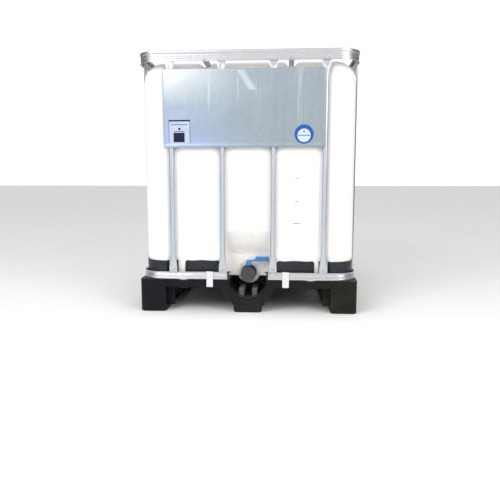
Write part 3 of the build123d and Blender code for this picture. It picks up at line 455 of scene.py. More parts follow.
def film_finish():
    """Printed film: pale ground, dark outline, a bar, a diamond and a solid square; a blue ring on the
    round one. The marks are plain shapes placed by coordinates."""
    film = Recipe("printed_film", Roughness=0.5, Specular_IOR_Level=0.25)
    low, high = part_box("plate_labels")
    high.x, high.z = low.x + SQUARE_LABEL[0], low.z + SQUARE_LABEL[1]
    middle = (low.x + high.x) / 2
    width, height = SQUARE_LABEL

    def field(x0, x1, z0, z1):
        return film.math("MULTIPLY", film.inside(0, low.x + x0 * width, low.x + x1 * width),
                         film.inside(2, low.z + z0 * height, low.z + z1 * height))

    worn = film.ranged(film.noise(18.0, 4.0), 0.3, 0.7)
    ground = film.mixed(worn, (0.36, 0.41, 0.52), (0.44, 0.50, 0.60))
    navy = (0.002, 0.006, 0.03)
    square_area = film.math("LESS_THAN", film.axis(0), high.x + 0.01)
    frame_line = film.math("SUBTRACT", 1.0, field(0.02, 0.98, 0.018, 0.982))
    bar = field(0.12, 0.88, 0.83, 0.855)
    block = field(0.22, 0.74, 0.09, 0.50)
    cap_line = field(0.24, 0.72, 0.54, 0.565)
    tip = film.math("ADD", film.math("ABSOLUTE", film.math("SUBTRACT", film.axis(0), middle)),
                    film.math("ABSOLUTE", film.math("SUBTRACT", film.axis(2), low.z + 0.66 * height)))
    marks = [bar, block, cap_line, film.math("LESS_THAN", tip, 0.007), frame_line]
    ink = marks[0]
    for mark in marks[1:]:
        ink = film.math("MAXIMUM", ink, mark)
    square = film.mixed(ink, ground, navy)
    outer = ROUND_LABEL_R
    low_r, high_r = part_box("plate_labels")
    centre = Vector((high_r.x - outer, low_r.y, low_r.z - ROUND_LABEL_DROP + outer))
    gap = film.distance(tuple(centre))
    ring_area = film.math("GREATER_THAN", gap, outer * 0.69)
    disc = film.mixed(ring_area, (0.50, 0.58, 0.66), (0.012, 0.085, 0.36))
    stripe = film.math("MULTIPLY", film.inside(2, centre.z - 0.002, centre.z + 0.002),
                       film.math("LESS_THAN", gap, outer * 0.62))
    disc_marked = film.mixed(stripe, disc, (0.1, 0.16, 0.32))
    spot = film.distance((centre.x, centre.y, centre.z + outer * 0.4))
    dotted = film.mixed(film.math("LESS_THAN", spot, outer * 0.11), disc_marked, (0.35, 0.16, 0.4))
    film.colour(film.mixed(square_area, dotted, square))
    film.relief(film.noise(60.0, 3.0), 0.0002, 0.3)
    return film.material


def floor_finish():
    """Plain pale floor with the faintest mottling."""
    pale = Recipe("pale_floor", Roughness=0.75)
    pale.colour(pale.mixed(pale.noise(2.0, 4.0), (0.90, 0.90, 0.90), (0.95, 0.95, 0.95)))
    return pale.material


RING_ZINC, TUBE_ZINC, CLIP_ZINC, FIXING_ZINC = [
    galvanised(*recipe).material for recipe in (
        ("ring_zinc", (0.63, 0.63, 0.66), (0.54, 0.54, 0.57), 0.24, 90.0, (3, 3, 60), 0.15, 0.03),
        ("tube_zinc", (0.56, 0.61, 0.67), (0.49, 0.53, 0.59), 0.26, 170.0, (70, 70, 4), 0.12, 0.05),
        ("clip_zinc", (0.84, 0.85, 0.87), (0.72, 0.73, 0.75), 0.22, 240.0, (60, 60, 20), 0.1, 0.05),
        ("fixing_zinc", (0.70, 0.69, 0.66), (0.42, 0.41, 0.40), 0.3, 320.0, (80, 80, 80), 0.5, 0.15))]
PLATE_ZINC = plate_finish()
BOTTLE_MILK = bottle_finish()
PALLET_BLACK = pallet_finish()
TRAY_BLACK = moulded("tray_black", (0.006, 0.007, 0.010), (0.045, 0.052, 0.068), 0.30, 0.3, 260.0,
                     5.0, 0.3)
RIB_DUSTY = moulded("rib_dusty", (0.06, 0.06, 0.06), (0.20, 0.19, 0.18), 0.6, 0.5, 300.0, 18.0)
PLUG_BLACK = moulded("plug_black", (0.015, 0.014, 0.013), (0.06, 0.055, 0.05), 0.5)
VALVE_BLACK = moulded("valve_black", (0.018, 0.018, 0.02), (0.07, 0.068, 0.065), 0.45)
CAP_GREY = moulded("cap_grey", (0.030, 0.030, 0.033), (0.085, 0.082, 0.08), 0.48, 0.4, 380.0, 22.0)
LID_BLACK = moulded("lid_black", (0.02, 0.02, 0.022), (0.09, 0.088, 0.082), 0.42, 0.5)
VENT_RED = moulded("vent_red", (0.55, 0.03, 0.02), (0.5, 0.12, 0.09), 0.38, 0.35)
LEVER_BLUE = moulded("lever_blue", (0.030, 0.15, 0.46), (0.09, 0.26, 0.58), 0.30, 0.25, 300.0, 14.0)
DISC_WHITE = moulded("disc_white", (0.75, 0.75, 0.72), (0.68, 0.66, 0.6), 0.4, 0.2)
SEAL_RUBBER = moulded("seal_rubber", (0.02, 0.02, 0.02), (0.05, 0.048, 0.045), 0.65, 0.3)
PRINTED_FILM = film_finish()


# ---- cage ----
RING_DIP_X = (-0.297, 0.289)
RING_LOW, RING_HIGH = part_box("top_ring")
RING_CORNER = 0.095
SEAM_X = -0.020
SEAM_GAP = 0.0012


def ring_outline(tall):
    """The roll-formed section as (depth from the outer line, height from the plain edge): a flared
    plain edge, a sunken web with two ribs, a step out to a rounded lip, and an inner flange. The web's
    features lie at fixed shares of the ring's height, and the lip is round."""
    stretch = tall / 36
    height = np.linspace(0.2, tall - 4.5, 52)
    depth = (5 - 3 * (1 - ease(1.5, 5.5, height)) - 4 * ease(24 * stretch, 28 * stretch, height)
             - 1.4 * hump(height, 11 * stretch, 3.2) - 1.4 * hump(height, 18 * stretch, 3.2))
    web = np.stack([depth, height], axis=1)
    lip = arc((4.5, tall - 4.5), 3.5, 180, 90, 8)[1:]
    bend = arc((13.5, tall - 3.5), 2.5, 90, 0, 6)
    return thickened(chain(web, lip, bend, [(16, tall - 7), (16, tall - 11)]), 2.0) * MM


def ring(name, low_z, high_z, start_gap, middle_x, up, node, dips):
    """The section carried round the rounded rectangle, open at the front between two ends."""
    outline = ring_outline((high_z - low_z) / MM)
    half_x, half_y = RING_HIGH.x, RING_HIGH.y
    length = cage_line(half_x, half_y, RING_CORNER, np.zeros(1))[2]
    distance = np.linspace(middle_x + start_gap, length + middle_x - start_gap, 520)
    point, normal, _ = cage_line(half_x, half_y, RING_CORNER, distance)
    depth, height = outline[None, :, 0], outline[None, :, 1]
    wave = 0.0004 * np.sin(distance * 9.1 + 0.6)[:, None] + 0.0003 * np.sin(distance * 23.0)[:, None]
    tall = high_z - low_z
    lip = ease(tall - 0.014, tall - 0.004, height)
    front = (point[:, 1] < 0)[:, None]
    dent = sum(hump(point[:, :1], x, 0.032) for x in RING_DIP_X) * front * dips
    depth = depth + 0.0004 + np.abs(wave) - lip * dent * 0.0022
    height = height + lip * dent * 0.0035
    flat = point[:, None, :] - normal[:, None, :] * depth[..., None]
    z = low_z + height if up else high_z - height
    points = np.concatenate([flat, z[..., None]], axis=-1)
    return piece(name, [surface(points, wrap_columns=True, caps=True)], RING_ZINC,
                 replaces=[node], crease=50)


def tube_points(flat_foot, flat_head, bottom, top):
    """A tube of superellipse sections as local (across, height, out) points: round in the middle,
    pressed flat and drawn outwards at both ends, with a shallow crease where it flattens."""
    height = np.unique(np.concatenate([np.linspace(bottom, bottom + 0.12, 34),
                                       np.linspace(bottom + 0.12, top - 0.12, 26),
                                       np.linspace(top - 0.12, top, 34)]))[:, None]
    angle = np.linspace(0, 2 * np.pi, 36, endpoint=False)[None, :]
    foot = 1 - ease(bottom + 0.047, bottom + 0.112, height)
    head = ease(1.062, 1.122, height)
    flat = foot + head
    round_r = 0.0125
    half_across = round_r + (flat_foot[0] - round_r) * foot + (flat_head[0] - round_r) * head
    half_deep = round_r + (flat_foot[1] - round_r) * foot + (flat_head[1] - round_r) * head
    power = 1 / (1 + 1.2 * flat)
    across = half_across * np.sign(np.cos(angle)) * np.abs(np.cos(angle)) ** power
    deep = half_deep * np.sign(np.sin(angle)) * np.abs(np.sin(angle)) ** power
    crease = 0.0032 * 4 * flat * (1 - flat) * np.exp(-(across / 0.006) ** 2)
    out = 0.0065 * flat + deep - crease * np.sign(deep) * (np.abs(deep) > 0.3 * half_deep)
    return np.stack([across, height + 0 * angle, out], axis=-1)


def cage_tubes():
    """The eighteen uprights, each placed by its node's middle and turned to its side."""
    low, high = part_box("front_tube_1")
    shape = tube_points((0.0185, 0.0032), (0.0205, 0.0030), low.z, high.z)
    for node in FRONT_TUBES + SIDE_TUBES:
        side = node.split("_")[0]
        low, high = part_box(node)
        middle = (low + high) / 2
        out_x, out_y = OUTWARD[side]
        axis_x = middle.x if out_x == 0 else out_x * (RING_HIGH.x - 0.016)
        axis_y = middle.y if out_y == 0 else out_y * (RING_HIGH.y - 0.016)
        points = facing(shape, (out_x, out_y), (axis_x, axis_y, 0))
        piece("upright_" + node, [surface(points, wrap_columns=True, caps=True)], TUBE_ZINC,
              replaces=[node], crease=50)


def dome(radius, height, flange, flange_height):
    """A domed fixing on a thin washer, as (radius, height out of the face)."""
    cap = arc((0, 0), 1.0, 90, 0, 6) * (radius, height) + (0, flange_height)
    return chain(cap, [(flange, flange_height), (flange, -0.001), (0, -0.001)])


def face_fixing(profile, side, x, y, z, around=16):
    """A turned fixing with its axis along a side's outward direction."""
    shape = revolved(profile, around)
    return surface(facing(shape, OUTWARD[side], (x, y, z)), wrap_rows=True)


def tube_fixings():
    """A domed bolt through each upright's foot and two pressed rivets through its head."""
    bolt = dome(0.0068, 0.0042, 0.0095, 0.0012)
    rivet = dome(0.0042, 0.0020, 0.0050, 0.0006)
    shells = []
    for node in FRONT_TUBES + SIDE_TUBES:
        side = node.split("_")[0]
        low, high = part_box(node)
        middle = (low + high) / 2
        out_x, out_y = OUTWARD[side]
        along = middle.x if out_x == 0 else middle.y

        def spot(depth, shift, z, profile):
            x = along + shift if out_x == 0 else out_x * (RING_HIGH.x - depth)
            y = along + shift if out_y == 0 else out_y * (RING_HIGH.y - depth)
            return face_fixing(profile, side, x, y, z)

        shells.append(spot(0.0064, 0.0, 0.203, bolt))
        shells += [spot(0.0042, shift, 1.1385, rivet) for shift in (-0.011, 0.011)]
        shells += [spot(0.0042, shift, 0.178, rivet) for shift in (-0.012, 0.012)]
    piece("tube_fixings", shells, FIXING_ZINC, replaces=["tube_fasteners"], crease=50)


def plate():
    """The label plate: a folded top edge, a thin sheet with slack waves and a rolled bottom bead."""
    low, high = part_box("label_plate")
    top, bottom, face = high.z, low.z, low.y + 0.004
    fold = arc((face + 0.003, top - 0.0035), 0.003, 90, 180, 6)
    bead = arc((face + 0.0005, bottom + 0.0055), 0.0040, 130, 400, 20)
    sheet = np.stack([np.full(40, face), np.linspace(top - 0.006, bottom + 0.012, 40)], axis=1)
    line = chain([(face + 0.007, top - 0.0005)], fold, sheet, bead)
    outline = thickened(line, 0.0009)
    along = np.linspace(low.x, high.x, 110)[:, None]
    y, z = outline[None, :, 0] + 0 * along, outline[None, :, 1] + 0 * along
    inner = ease(bottom + 0.012, bottom + 0.05, z) * ease(top - 0.008, top - 0.05, z)
    inner = inner * ease(low.x, low.x + 0.05, along) * ease(high.x, high.x - 0.05, along)
    slack = 0.0008 * np.sin(along * 17 + 2 * z) + 0.0006 * np.sin(z * 31 + along * 6 + 1.0)
    points = np.stack([along + 0 * y, y + inner * np.abs(slack), z], axis=-1)
    shells = [surface(points, wrap_columns=True, caps=True)]
    for side, x in ((-1, low.x), (1, high.x)):
        height = np.linspace(bottom + 0.012, top - 0.006, 30)[:, None]
        angle = np.linspace(0, 2 * np.pi, 14, endpoint=False)[None, :]
        radius = 0.0028 + 0 * height
        edge = np.stack([x - side * 0.002 + radius * np.cos(angle),
                         face + 0.0008 + radius * 0.8 * np.sin(angle), height + 0 * angle], axis=-1)
        shells.append(surface(edge, wrap_columns=True, caps=True))
    return piece("name_plate", shells, PLATE_ZINC, replaces=["label_plate"], crease=50)


# ---- bottle ----
BOTTLE_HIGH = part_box("bottle")[1]
BOTTLE_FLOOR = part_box("tray_floor")[1].z
BOTTLE_CORNER = 0.100
SHOULDER = 0.094
BOTTLE_TOP = 1.135
FLAT_SINK = 0.018
TUBE_BULGE = 0.007
PANEL_RISE = 0.004
PANEL_TOP = 0.705
POCKET_HALF = 0.110
POCKET_BACK = -0.485
POCKET_BEND = 0.262
POCKET_OPEN = 0.417
NECK_WELL = 0.108
NECK_BASE = 1.085
GROOVE_DEEP = 0.017
GROOVE_X = (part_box("left_crossbar")[0].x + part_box("left_crossbar")[1].x) / 2


def bay_relief(along, z, tubes, span):
    """How far a wall stands off its sunken flat: bulged between uprights, with a raised lower panel
    that has rounded upper corners in each bay."""
    gap = np.min(np.abs(along[..., None] - np.array(tubes)), axis=-1)
    bulge = TUBE_BULGE * ease(0.010, 0.055, gap) * ease(0.26, 0.33, z) * ease(1.04, 0.97, z)
    bays = [(a + b) / 2 for a, b in zip(tubes[:-1], tubes[1:])]
    off = np.min(np.abs(along[..., None] - np.array(bays)), axis=-1)
    corner, half = 0.055, 0.092
    deep_x = np.maximum(off - (half - corner), 0)
    deep_z = np.maximum(z - (PANEL_TOP - corner), 0)
    edge = corner - np.hypot(deep_x, deep_z)
    panel = PANEL_RISE * ease(0.0, 0.012, edge) * ease(0.262, 0.30, z) * (np.abs(along) < span)
    return bulge + panel


def bottle_rows():
    """The wall's path from the middle of the floor to the middle of the top, as (inset, height, share
    of the way in to the middle)."""
    floor = BOTTLE_FLOOR
    foot_r = 0.028
    rise = np.radians(np.linspace(0, 90, 8))
    foot = np.stack([foot_r * (1 - np.sin(rise)), floor + foot_r * (1 - np.cos(rise)), 0 * rise], axis=1)
    low = np.linspace(floor + foot_r, 0.43, 50)[1:]
    high = np.linspace(0.43, BOTTLE_TOP - SHOULDER, 44)[1:]
    wall_z = np.concatenate([low, high])
    wall = np.stack([0 * wall_z, wall_z, 0 * wall_z], axis=1)
    turn = np.radians(np.linspace(0, 90, 15))[1:]
    shoulder = np.stack([SHOULDER * (1 - np.cos(turn)),
                         BOTTLE_TOP - SHOULDER + SHOULDER * np.sin(turn), 0 * turn], axis=1)
    inward = np.concatenate([np.linspace(0.03, 0.68, 20), np.linspace(0.70, 0.90, 24), [0.95, 1.0]])
    top = np.stack([0 * inward + SHOULDER, 0 * inward + BOTTLE_TOP, inward], axis=1)
    spread = np.linspace(1.0, 0.05, 10)
    base = np.stack([0 * spread + foot_r, 0 * spread + floor, spread], axis=1)
    return np.concatenate([base, foot, wall, shoulder, top])


def bottle_shell():
    """Rounded rectangles stacked along the wall's path, then sunk between the corner columns, raised
    in the bays, cut back for the valve, and pressed down for the crossbars and the filling neck."""
    rows = bottle_rows()
    half_x, half_y = BOTTLE_HIGH.x, BOTTLE_HIGH.y
    length = cage_line(half_x, half_y, BOTTLE_CORNER, np.zeros(1))[2]
    near_valve = np.linspace(-0.13, 0.13, 56)
    distance = np.concatenate([near_valve, np.linspace(0.13, length - 0.13, 340)[1:-1]])
    point, normal, _ = cage_line(half_x, half_y, BOTTLE_CORNER, distance)
    inset, z, inward = (rows[:, k][:, None] for k in range(3))
    foot_step = 0.004 * (1 - ease(0.236, 0.262, z))
    x = point[None, :, 0] - normal[None, :, 0] * (inset + foot_step)
    y = point[None, :, 1] - normal[None, :, 1] * (inset + foot_step)
    z = z + 0 * x
    on_wall = ease(0.90, 0.30, inset / SHOULDER) * (1 - ease(0, 0.05, inward))
    column_x, column_y = half_x - BOTTLE_CORNER, half_y - BOTTLE_CORNER
    sides = ((x, y, FRONT_TUBE_X, column_x), (y, x, SIDE_TUBE_Y, column_y))
    for along, across, tubes, flat_end in sides:
        level = np.abs(normal[None, :, 1 if across is y else 0]) > 0.999
        sunk = FLAT_SINK * ease(flat_end, flat_end - 0.028, np.abs(along))
        relief = bay_relief(along, z, tubes, flat_end)
        move = (sunk - relief * ease(flat_end, flat_end - 0.02, np.abs(along))) * on_wall * level
        across -= np.sign(across) * move
    slope = (POCKET_OPEN - POCKET_BEND) / (-0.601 - POCKET_BACK)
    pocket_y = np.where(z > POCKET_BEND, -0.601 + (z - POCKET_OPEN) / slope, POCKET_BACK)
    pocket_y = POCKET_BACK - np.log1p(np.exp(np.clip((POCKET_BACK - pocket_y) / 0.008, -50, 50))) * 0.008
    in_pocket = ease(POCKET_HALF + 0.012, POCKET_HALF - 0.010, np.abs(x)) * (y < -0.3) * (z < 0.5)
    y = np.where(y < pocket_y, y + (pocket_y - y) * in_pocket, y)
    spread = 1 - inward
    x, y = x * spread, y * spread
    on_top = ease(BOTTLE_TOP - 0.03, BOTTLE_TOP - 0.002, z)
    z = z - GROOVE_DEEP * ease(0.034, 0.016, np.abs(np.abs(x) - abs(GROOVE_X))) * on_top
    well = ease(NECK_WELL, NECK_WELL - 0.014, np.hypot(x, y)) * on_top
    z = z + (NECK_BASE - z) * well
    return surface(np.stack([x, y, z], axis=-1), wrap_columns=True)


def filling_neck():
    """Neck with a thread roll, turned about the upright axis."""
    outer, bore, top = 0.0795, 0.075, 1.128
    height = np.linspace(NECK_BASE - 0.001, top - 0.002, 40)
    wall = np.stack([outer - 0.002 + 0 * height, height], axis=1)
    line = chain([(outer + 0.006, NECK_BASE - 0.001), (outer + 0.001, NECK_BASE + 0.002)], wall,
                 [(outer - 0.004, top), (bore, top), (bore, NECK_BASE - 0.001)])
    return surface(revolved(line, 96), wrap_rows=True, wrap_columns=True)


def outlet_boss():
    """Round boss low in the valve pocket that carries the outlet neck, turned about the outlet axis."""
    boss_r, neck_r, bore_r, axis_z = 0.054, 0.031, 0.025, 0.172
    face, back, rim = -0.490, -0.430, -0.500
    line = chain([(bore_r, back), (boss_r, back)], arc((boss_r - 0.010, face + 0.010), 0.010, 0, -90, 8),
                 [(neck_r + 0.004, face)], arc((neck_r + 0.004, face - 0.004), 0.004, 90, 180, 5),
                 [(neck_r, rim), (bore_r, rim)])
    shape = revolved(line, 72)
    turned = np.stack([shape[..., 0], shape[..., 2], shape[..., 1] + axis_z], axis=-1)
    return surface(turned, wrap_rows=True, wrap_columns=True)


def level_marks():
    """Short moulded lines that mark the filling height: rounded bars a little proud of the wall, coloured
    black as painted shade.
    """
    shells = []
    for z, length in ((0.413, 0.020), (0.513, 0.012), (0.613, 0.012)):
        along = np.linspace(-1, 1, 12)[:, None]
        angle = np.linspace(0, 2 * np.pi, 12, endpoint=False)[None, :]
        radius = 0.0014 * np.sqrt(np.clip(1 - along ** 6, 0, 1)) + 1e-5
        points = np.stack([0.222 + along * length + 0 * angle, -0.5768 + radius * np.cos(angle),
                           z + radius * np.sin(angle)], axis=-1)
        shells.append(surface(points, wrap_columns=True, caps=True))
    # Painted shade: the moulded bars get the black tray finish to stand in for the shadow line they cast
    # on the white wall.
    return piece("level_marks", shells, TRAY_BLACK)


def bottle():
    shells = [bottle_shell(), filling_neck(), outlet_boss()]
    return piece("milky_bottle", shells, BOTTLE_MILK,
                 replaces=["bottle", "filling_neck", "valve_recess"], crease=60)


# ---- pallet ----
def beam_pads():
    """Raised square pads on the end beams with a rounded edge and a sunken screw."""
    shells = []
    grid = np.linspace(-1, 1, 41)
    u, v = np.meshgrid(grid, grid, indexing="ij")
    half_x, half_z, corner = 0.025, 0.0185, 0.004
    for x in RING_DIP_X:
        for sign in (-1, 1):
            reach = np.maximum(np.abs(u) * half_x - (half_x - corner), 0) ** 2
            reach = np.sqrt(reach + np.maximum(np.abs(v) * half_z - (half_z - corner), 0) ** 2)
            rise = 0.0030 * ease(corner, corner - 0.0025, reach)
            hole = np.hypot(u * half_x, v * half_z)
            rise = rise - 0.0035 * ease(0.0062, 0.0050, hole) + 0.0018 * ease(0.0040, 0.0030, hole)
            y = sign * (0.5970 + rise)
            points = np.stack([x + u * half_x, y, 0.1295 + v * half_z], axis=-1)
            shells.append(surface(points))
    return piece("beam_pads", shells, PALLET_BLACK, crease=60)


def valve_trough():
    """The half-round well under the valve: a closed profile turned half round the outlet-ward axis at
    deck height, with a double front lip, a centre tab, and two dusty upright ribs."""
    low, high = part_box("valve_well")
    outer = (high.x - low.x) / 2
    inner, lip, sheet = outer - 0.006, outer - 0.002, 0.0014
    front, face, back = low.y, low.y + 0.003, high.y
    line = chain([(inner, back - 0.006), (inner, front + 0.0035), (inner - 0.001, front + 0.0030)],
                 arc((inner + 0.0006, front + 0.0010), sheet * 0.7, 200, 290, 6),
                 arc((lip - 0.0004, front + 0.0010), sheet * 0.7, 270, 360, 6),
                 [(lip + 0.0004, face), (outer, face + 0.0005), (outer, back), (0, back),
                  (0, back - 0.006)])
    angle = np.radians(np.linspace(180, 360, 97))[:, None]
    points = np.stack([line[None, :, 0] * np.cos(angle), line[None, :, 1] + 0 * angle,
                       high.z + line[None, :, 0] * np.sin(angle)], axis=-1)
    shells = [surface(points, wrap_columns=True, caps=True)]
    shells.append(rounded_block(-0.0022, 0.0022, front + 0.0002, front + 0.006, high.z - lip - 0.001,
                                high.z - inner + 0.004, 0.001, 0.0008))
    piece("valve_trough", shells, PALLET_BLACK, replaces=["valve_well"], crease=40)
    ribs = [rounded_block(x - 0.013, x + 0.013, front + 0.040, back - 0.004, high.z - inner + 0.002,
                          0.105, 0.004, 0.003) for x in (-0.031, 0.031)]
    piece("trough_ribs", ribs, RIB_DUSTY, crease=40)


# ---- tray panels ----
def panel_sheet(low, high, across, count=60):
    """One flat rim panel: a grid over its length and height with rounded upper corners, a gentle bow,
    and a top edge that dips a little; across is the axis of its thickness."""
    along = 1 - across
    middle = (low[across] + high[across]) / 2
    length = high[along] - low[along]
    share = np.linspace(0, 1, count)[:, None]
    corner = 0.012
    from_end = np.minimum(share, 1 - share) * length
    drop = corner - np.sqrt(np.clip(corner ** 2 - np.clip(corner - from_end, 0, corner) ** 2, 0, None))
    top = high[2] - drop - 0.0016 * (1 + np.sin(share * 7.0 + middle * 9)) * ease(0, 0.04, from_end)
    turn = np.linspace(0, 2 * np.pi, 40, endpoint=False)[None, :]
    rise = np.clip(0.5 - 0.5 * np.cos(turn), 0, 1)
    height = low[2] + (top - low[2]) * rise
    face = np.sign(np.sin(turn)) * np.abs(np.sin(turn)) ** 0.12
    bow = 0.0014 * np.sin(share * np.pi * 2 + 0.7) * rise + 0.0008 * np.sin(share * 17)
    offset = middle + bow + face * 0.0019
    level = low[along] + share * length + 0 * height
    order = (level, offset + 0 * height) if along == 0 else (offset + 0 * height, level)
    return surface(np.stack([*order, height], axis=-1), wrap_columns=True, caps=True)


def solid_boxes(node):
    """The boxes of a node's separate solids, found by walking its welded mesh."""
    copy = welded_copy(node)
    shape = bmesh.new()
    shape.from_mesh(copy.data)
    bpy.data.objects.remove(copy)
    left, boxes = set(shape.verts), []
    while left:
        ring, found = [left.pop()], []
        while ring:
            vert = ring.pop()
            found.append(tuple(vert.co))
            near = [edge.other_vert(vert) for edge in vert.link_edges]
            ring += [other for other in near if other in left]
            left.difference_update(near)
        found = np.array(found)
        boxes.append((found.min(axis=0), found.max(axis=0)))
    shape.free()
    return sorted(boxes, key=lambda pair: tuple(pair[0]))


def rim_panels():
    """The flat panels on all four sides, one piece for each node."""
    for node, across in (("front_panels", 1), ("back_panels", 1), ("side_panels", 0)):
        shells = [panel_sheet(low, high, across) for low, high in solid_boxes(node)]
        piece("wavy_" + node, shells, TRAY_BLACK, replaces=[node], crease=40)


CLIP_SINK = 0.001


def clips():
    """The straps over the bottom ring, drawn in a little so that their embossing stays inside."""
    straps = softened("ring_clips", CLIP_ZINC, 0.0008)
    spots = np.empty(len(straps.data.vertices) * 3, dtype=np.float32)
    straps.data.vertices.foreach_get("co", spots)
    spots = spots.reshape(-1, 3) * (1 - CLIP_SINK / CAD_BOX[1].x, 1 - CLIP_SINK / CAD_BOX[1].y, 1)
    straps.data.vertices.foreach_set("co", spots.astype(np.float32).ravel())
    straps.data.update()


def clip_embossing():
    """A small pressed ring and two bars near the bottom of each ring clip on the front and back."""
    shells = []
    for low, high in solid_boxes("ring_clips"):
        size = np.subtract(high, low)
        if size[0] > size[1] - 0.02 and abs(low[0] + high[0]) / 2 < 0.3 and size[2] > 0.05:
            side = "front" if low[1] < 0 else "back"
            face = low[1] + CLIP_SINK if low[1] < 0 else high[1] - CLIP_SINK
            x, z = (low[0] + high[0]) / 2, low[2] + 0.016
            bead = arc((0.0050, 0), 0.0009, 180, 0, 6)
            shape = revolved(chain([(0.0040, -0.0006)], bead, [(0.0060, -0.0006)]), 24)
            turned = facing(shape, OUTWARD[side], (x, face, z))
            shells.append(surface(turned, wrap_rows=True, wrap_columns=True))
            for shift in (-0.009, 0.009):
                y = sorted((face - 0.0005, face + 0.0005))
                shells.append(rounded_block(x - 0.008, x + 0.008, y[0], y[1], z + shift - 0.0008,
                                            z + shift + 0.0008, 0.0004, 0.0003))
    if shells:
        piece("clip_embossing", shells, CLIP_ZINC, crease=50)


# ---- valve ----
def outlet_cap():
    """Dust cap turned about the outlet axis: a ribbed skirt, a dished face with a centre dimple."""
    low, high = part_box("outlet_cap")
    radius, bore, axis_z = (high.x - low.x) / 2, 0.0304, (low.z + high.z) / 2
    front, back = low.y, high.y
    dish = [(0, 0.0022), (0.0030, 0.0018), (0.0045, 0.0006), (0.0065, 0.0004), (0.021, 0.0010),
            (0.0245, 0.0020), (0.0265, 0.0008), (0.030, 0.0002)]
    rim = arc((radius - 0.0032, front + 0.0032), 0.0032, -90, 0, 7)
    face = chain([(r, front + sunk) for r, sunk in dish], rim)
    skirt = np.stack([np.full(8, radius), np.linspace(front + 0.005, back - 0.001, 8)], axis=1)
    inside = [(radius - 0.001, back), (bore, back), (bore, front + 0.006), (0, front + 0.006)]
    line = chain(face, skirt, inside)

    def ribs(angle, r, height):
        tooth = np.clip(np.cos(angle * 44) * 1.6, -1, 1)
        return (tooth - 1) * 0.00055 * ease(radius - 0.0025, radius - 0.0005, r + 0 * angle)

    shape = revolved(line, 352, ribs)
    turned = np.stack([shape[..., 0], shape[..., 2], shape[..., 1] + axis_z], axis=-1)
    return piece("ribbed_cap", [surface(turned, wrap_rows=True)], CAP_GREY, "dust_cap",
                 ["outlet_cap"], crease=40)


def filling_lid():
    """Screw lid turned about the upright axis: ribbed skirt, stepped top with a sunken ring."""
    low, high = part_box("lid")
    radius, bottom, top, bore = (high.x - low.x) / 2, low.z, high.z, 0.0815
    vent = 0.027
    line = chain([(vent, top - 0.013), (vent, top - 0.007), (0.034, top - 0.006), (0.036, top - 0.0035)],
                 [(0.060, top - 0.003), (0.0615, top - 0.001), (0.063, top), (0.078, top)],
                 arc((radius - 0.004, top - 0.004), 0.004, 90, 0, 6),
                 np.stack([np.full(8, radius), np.linspace(top - 0.006, bottom + 0.002, 8)], axis=1),
                 [(radius - 0.001, bottom), (bore, bottom), (bore, top - 0.013)])

    def ribs(angle, r, height):
        tooth = np.clip(np.cos(angle * 36) * 2.2, -1, 1)
        return (tooth - 1) * 0.0009 * ease(radius - 0.003, radius - 0.001, r + 0 * angle)

    shape = revolved(line, 288, ribs)
    return piece("ribbed_lid", [surface(shape, wrap_rows=True, wrap_columns=True)], LID_BLACK,
                 "filling_lid", ["lid"], crease=40)


# ---- stage ----
def stage_panel(name, centre, size, turn, material):
    """A flat sheet that isn't part of the object: the floor or a dark card beside the cage."""
    half_u, half_v = size
    corners = [(-half_u, -half_v, 0), (half_u, -half_v, 0), (half_u, half_v, 0), (-half_u, half_v, 0)]
    mesh = bpy.data.meshes.new(name)
    mesh.from_pydata(corners, [], [(0, 1, 2, 3)])
    mesh.materials.append(material)
    sheet = bpy.data.objects.new(name, mesh)
    sheet.location = centre
    sheet.rotation_euler = turn
    bpy.context.scene.collection.objects.link(sheet)
    return sheet


def area_light(name, place, target, size, power, tint=(1, 1, 1)):
    """A square soft light aimed at a point."""
    lamp = bpy.data.lights.new(name, "AREA")
    lamp.shape = "SQUARE"
    lamp.size = size
    lamp.energy = power
    lamp.color = tint
    light = bpy.data.objects.new(name, lamp)
    light.location = place
    from_light = np.array(target) - np.array(place)
    light.rotation_euler = Vector(from_light).to_track_quat("-Z", "Y").to_euler()
    bpy.context.scene.collection.objects.link(light)
    return light


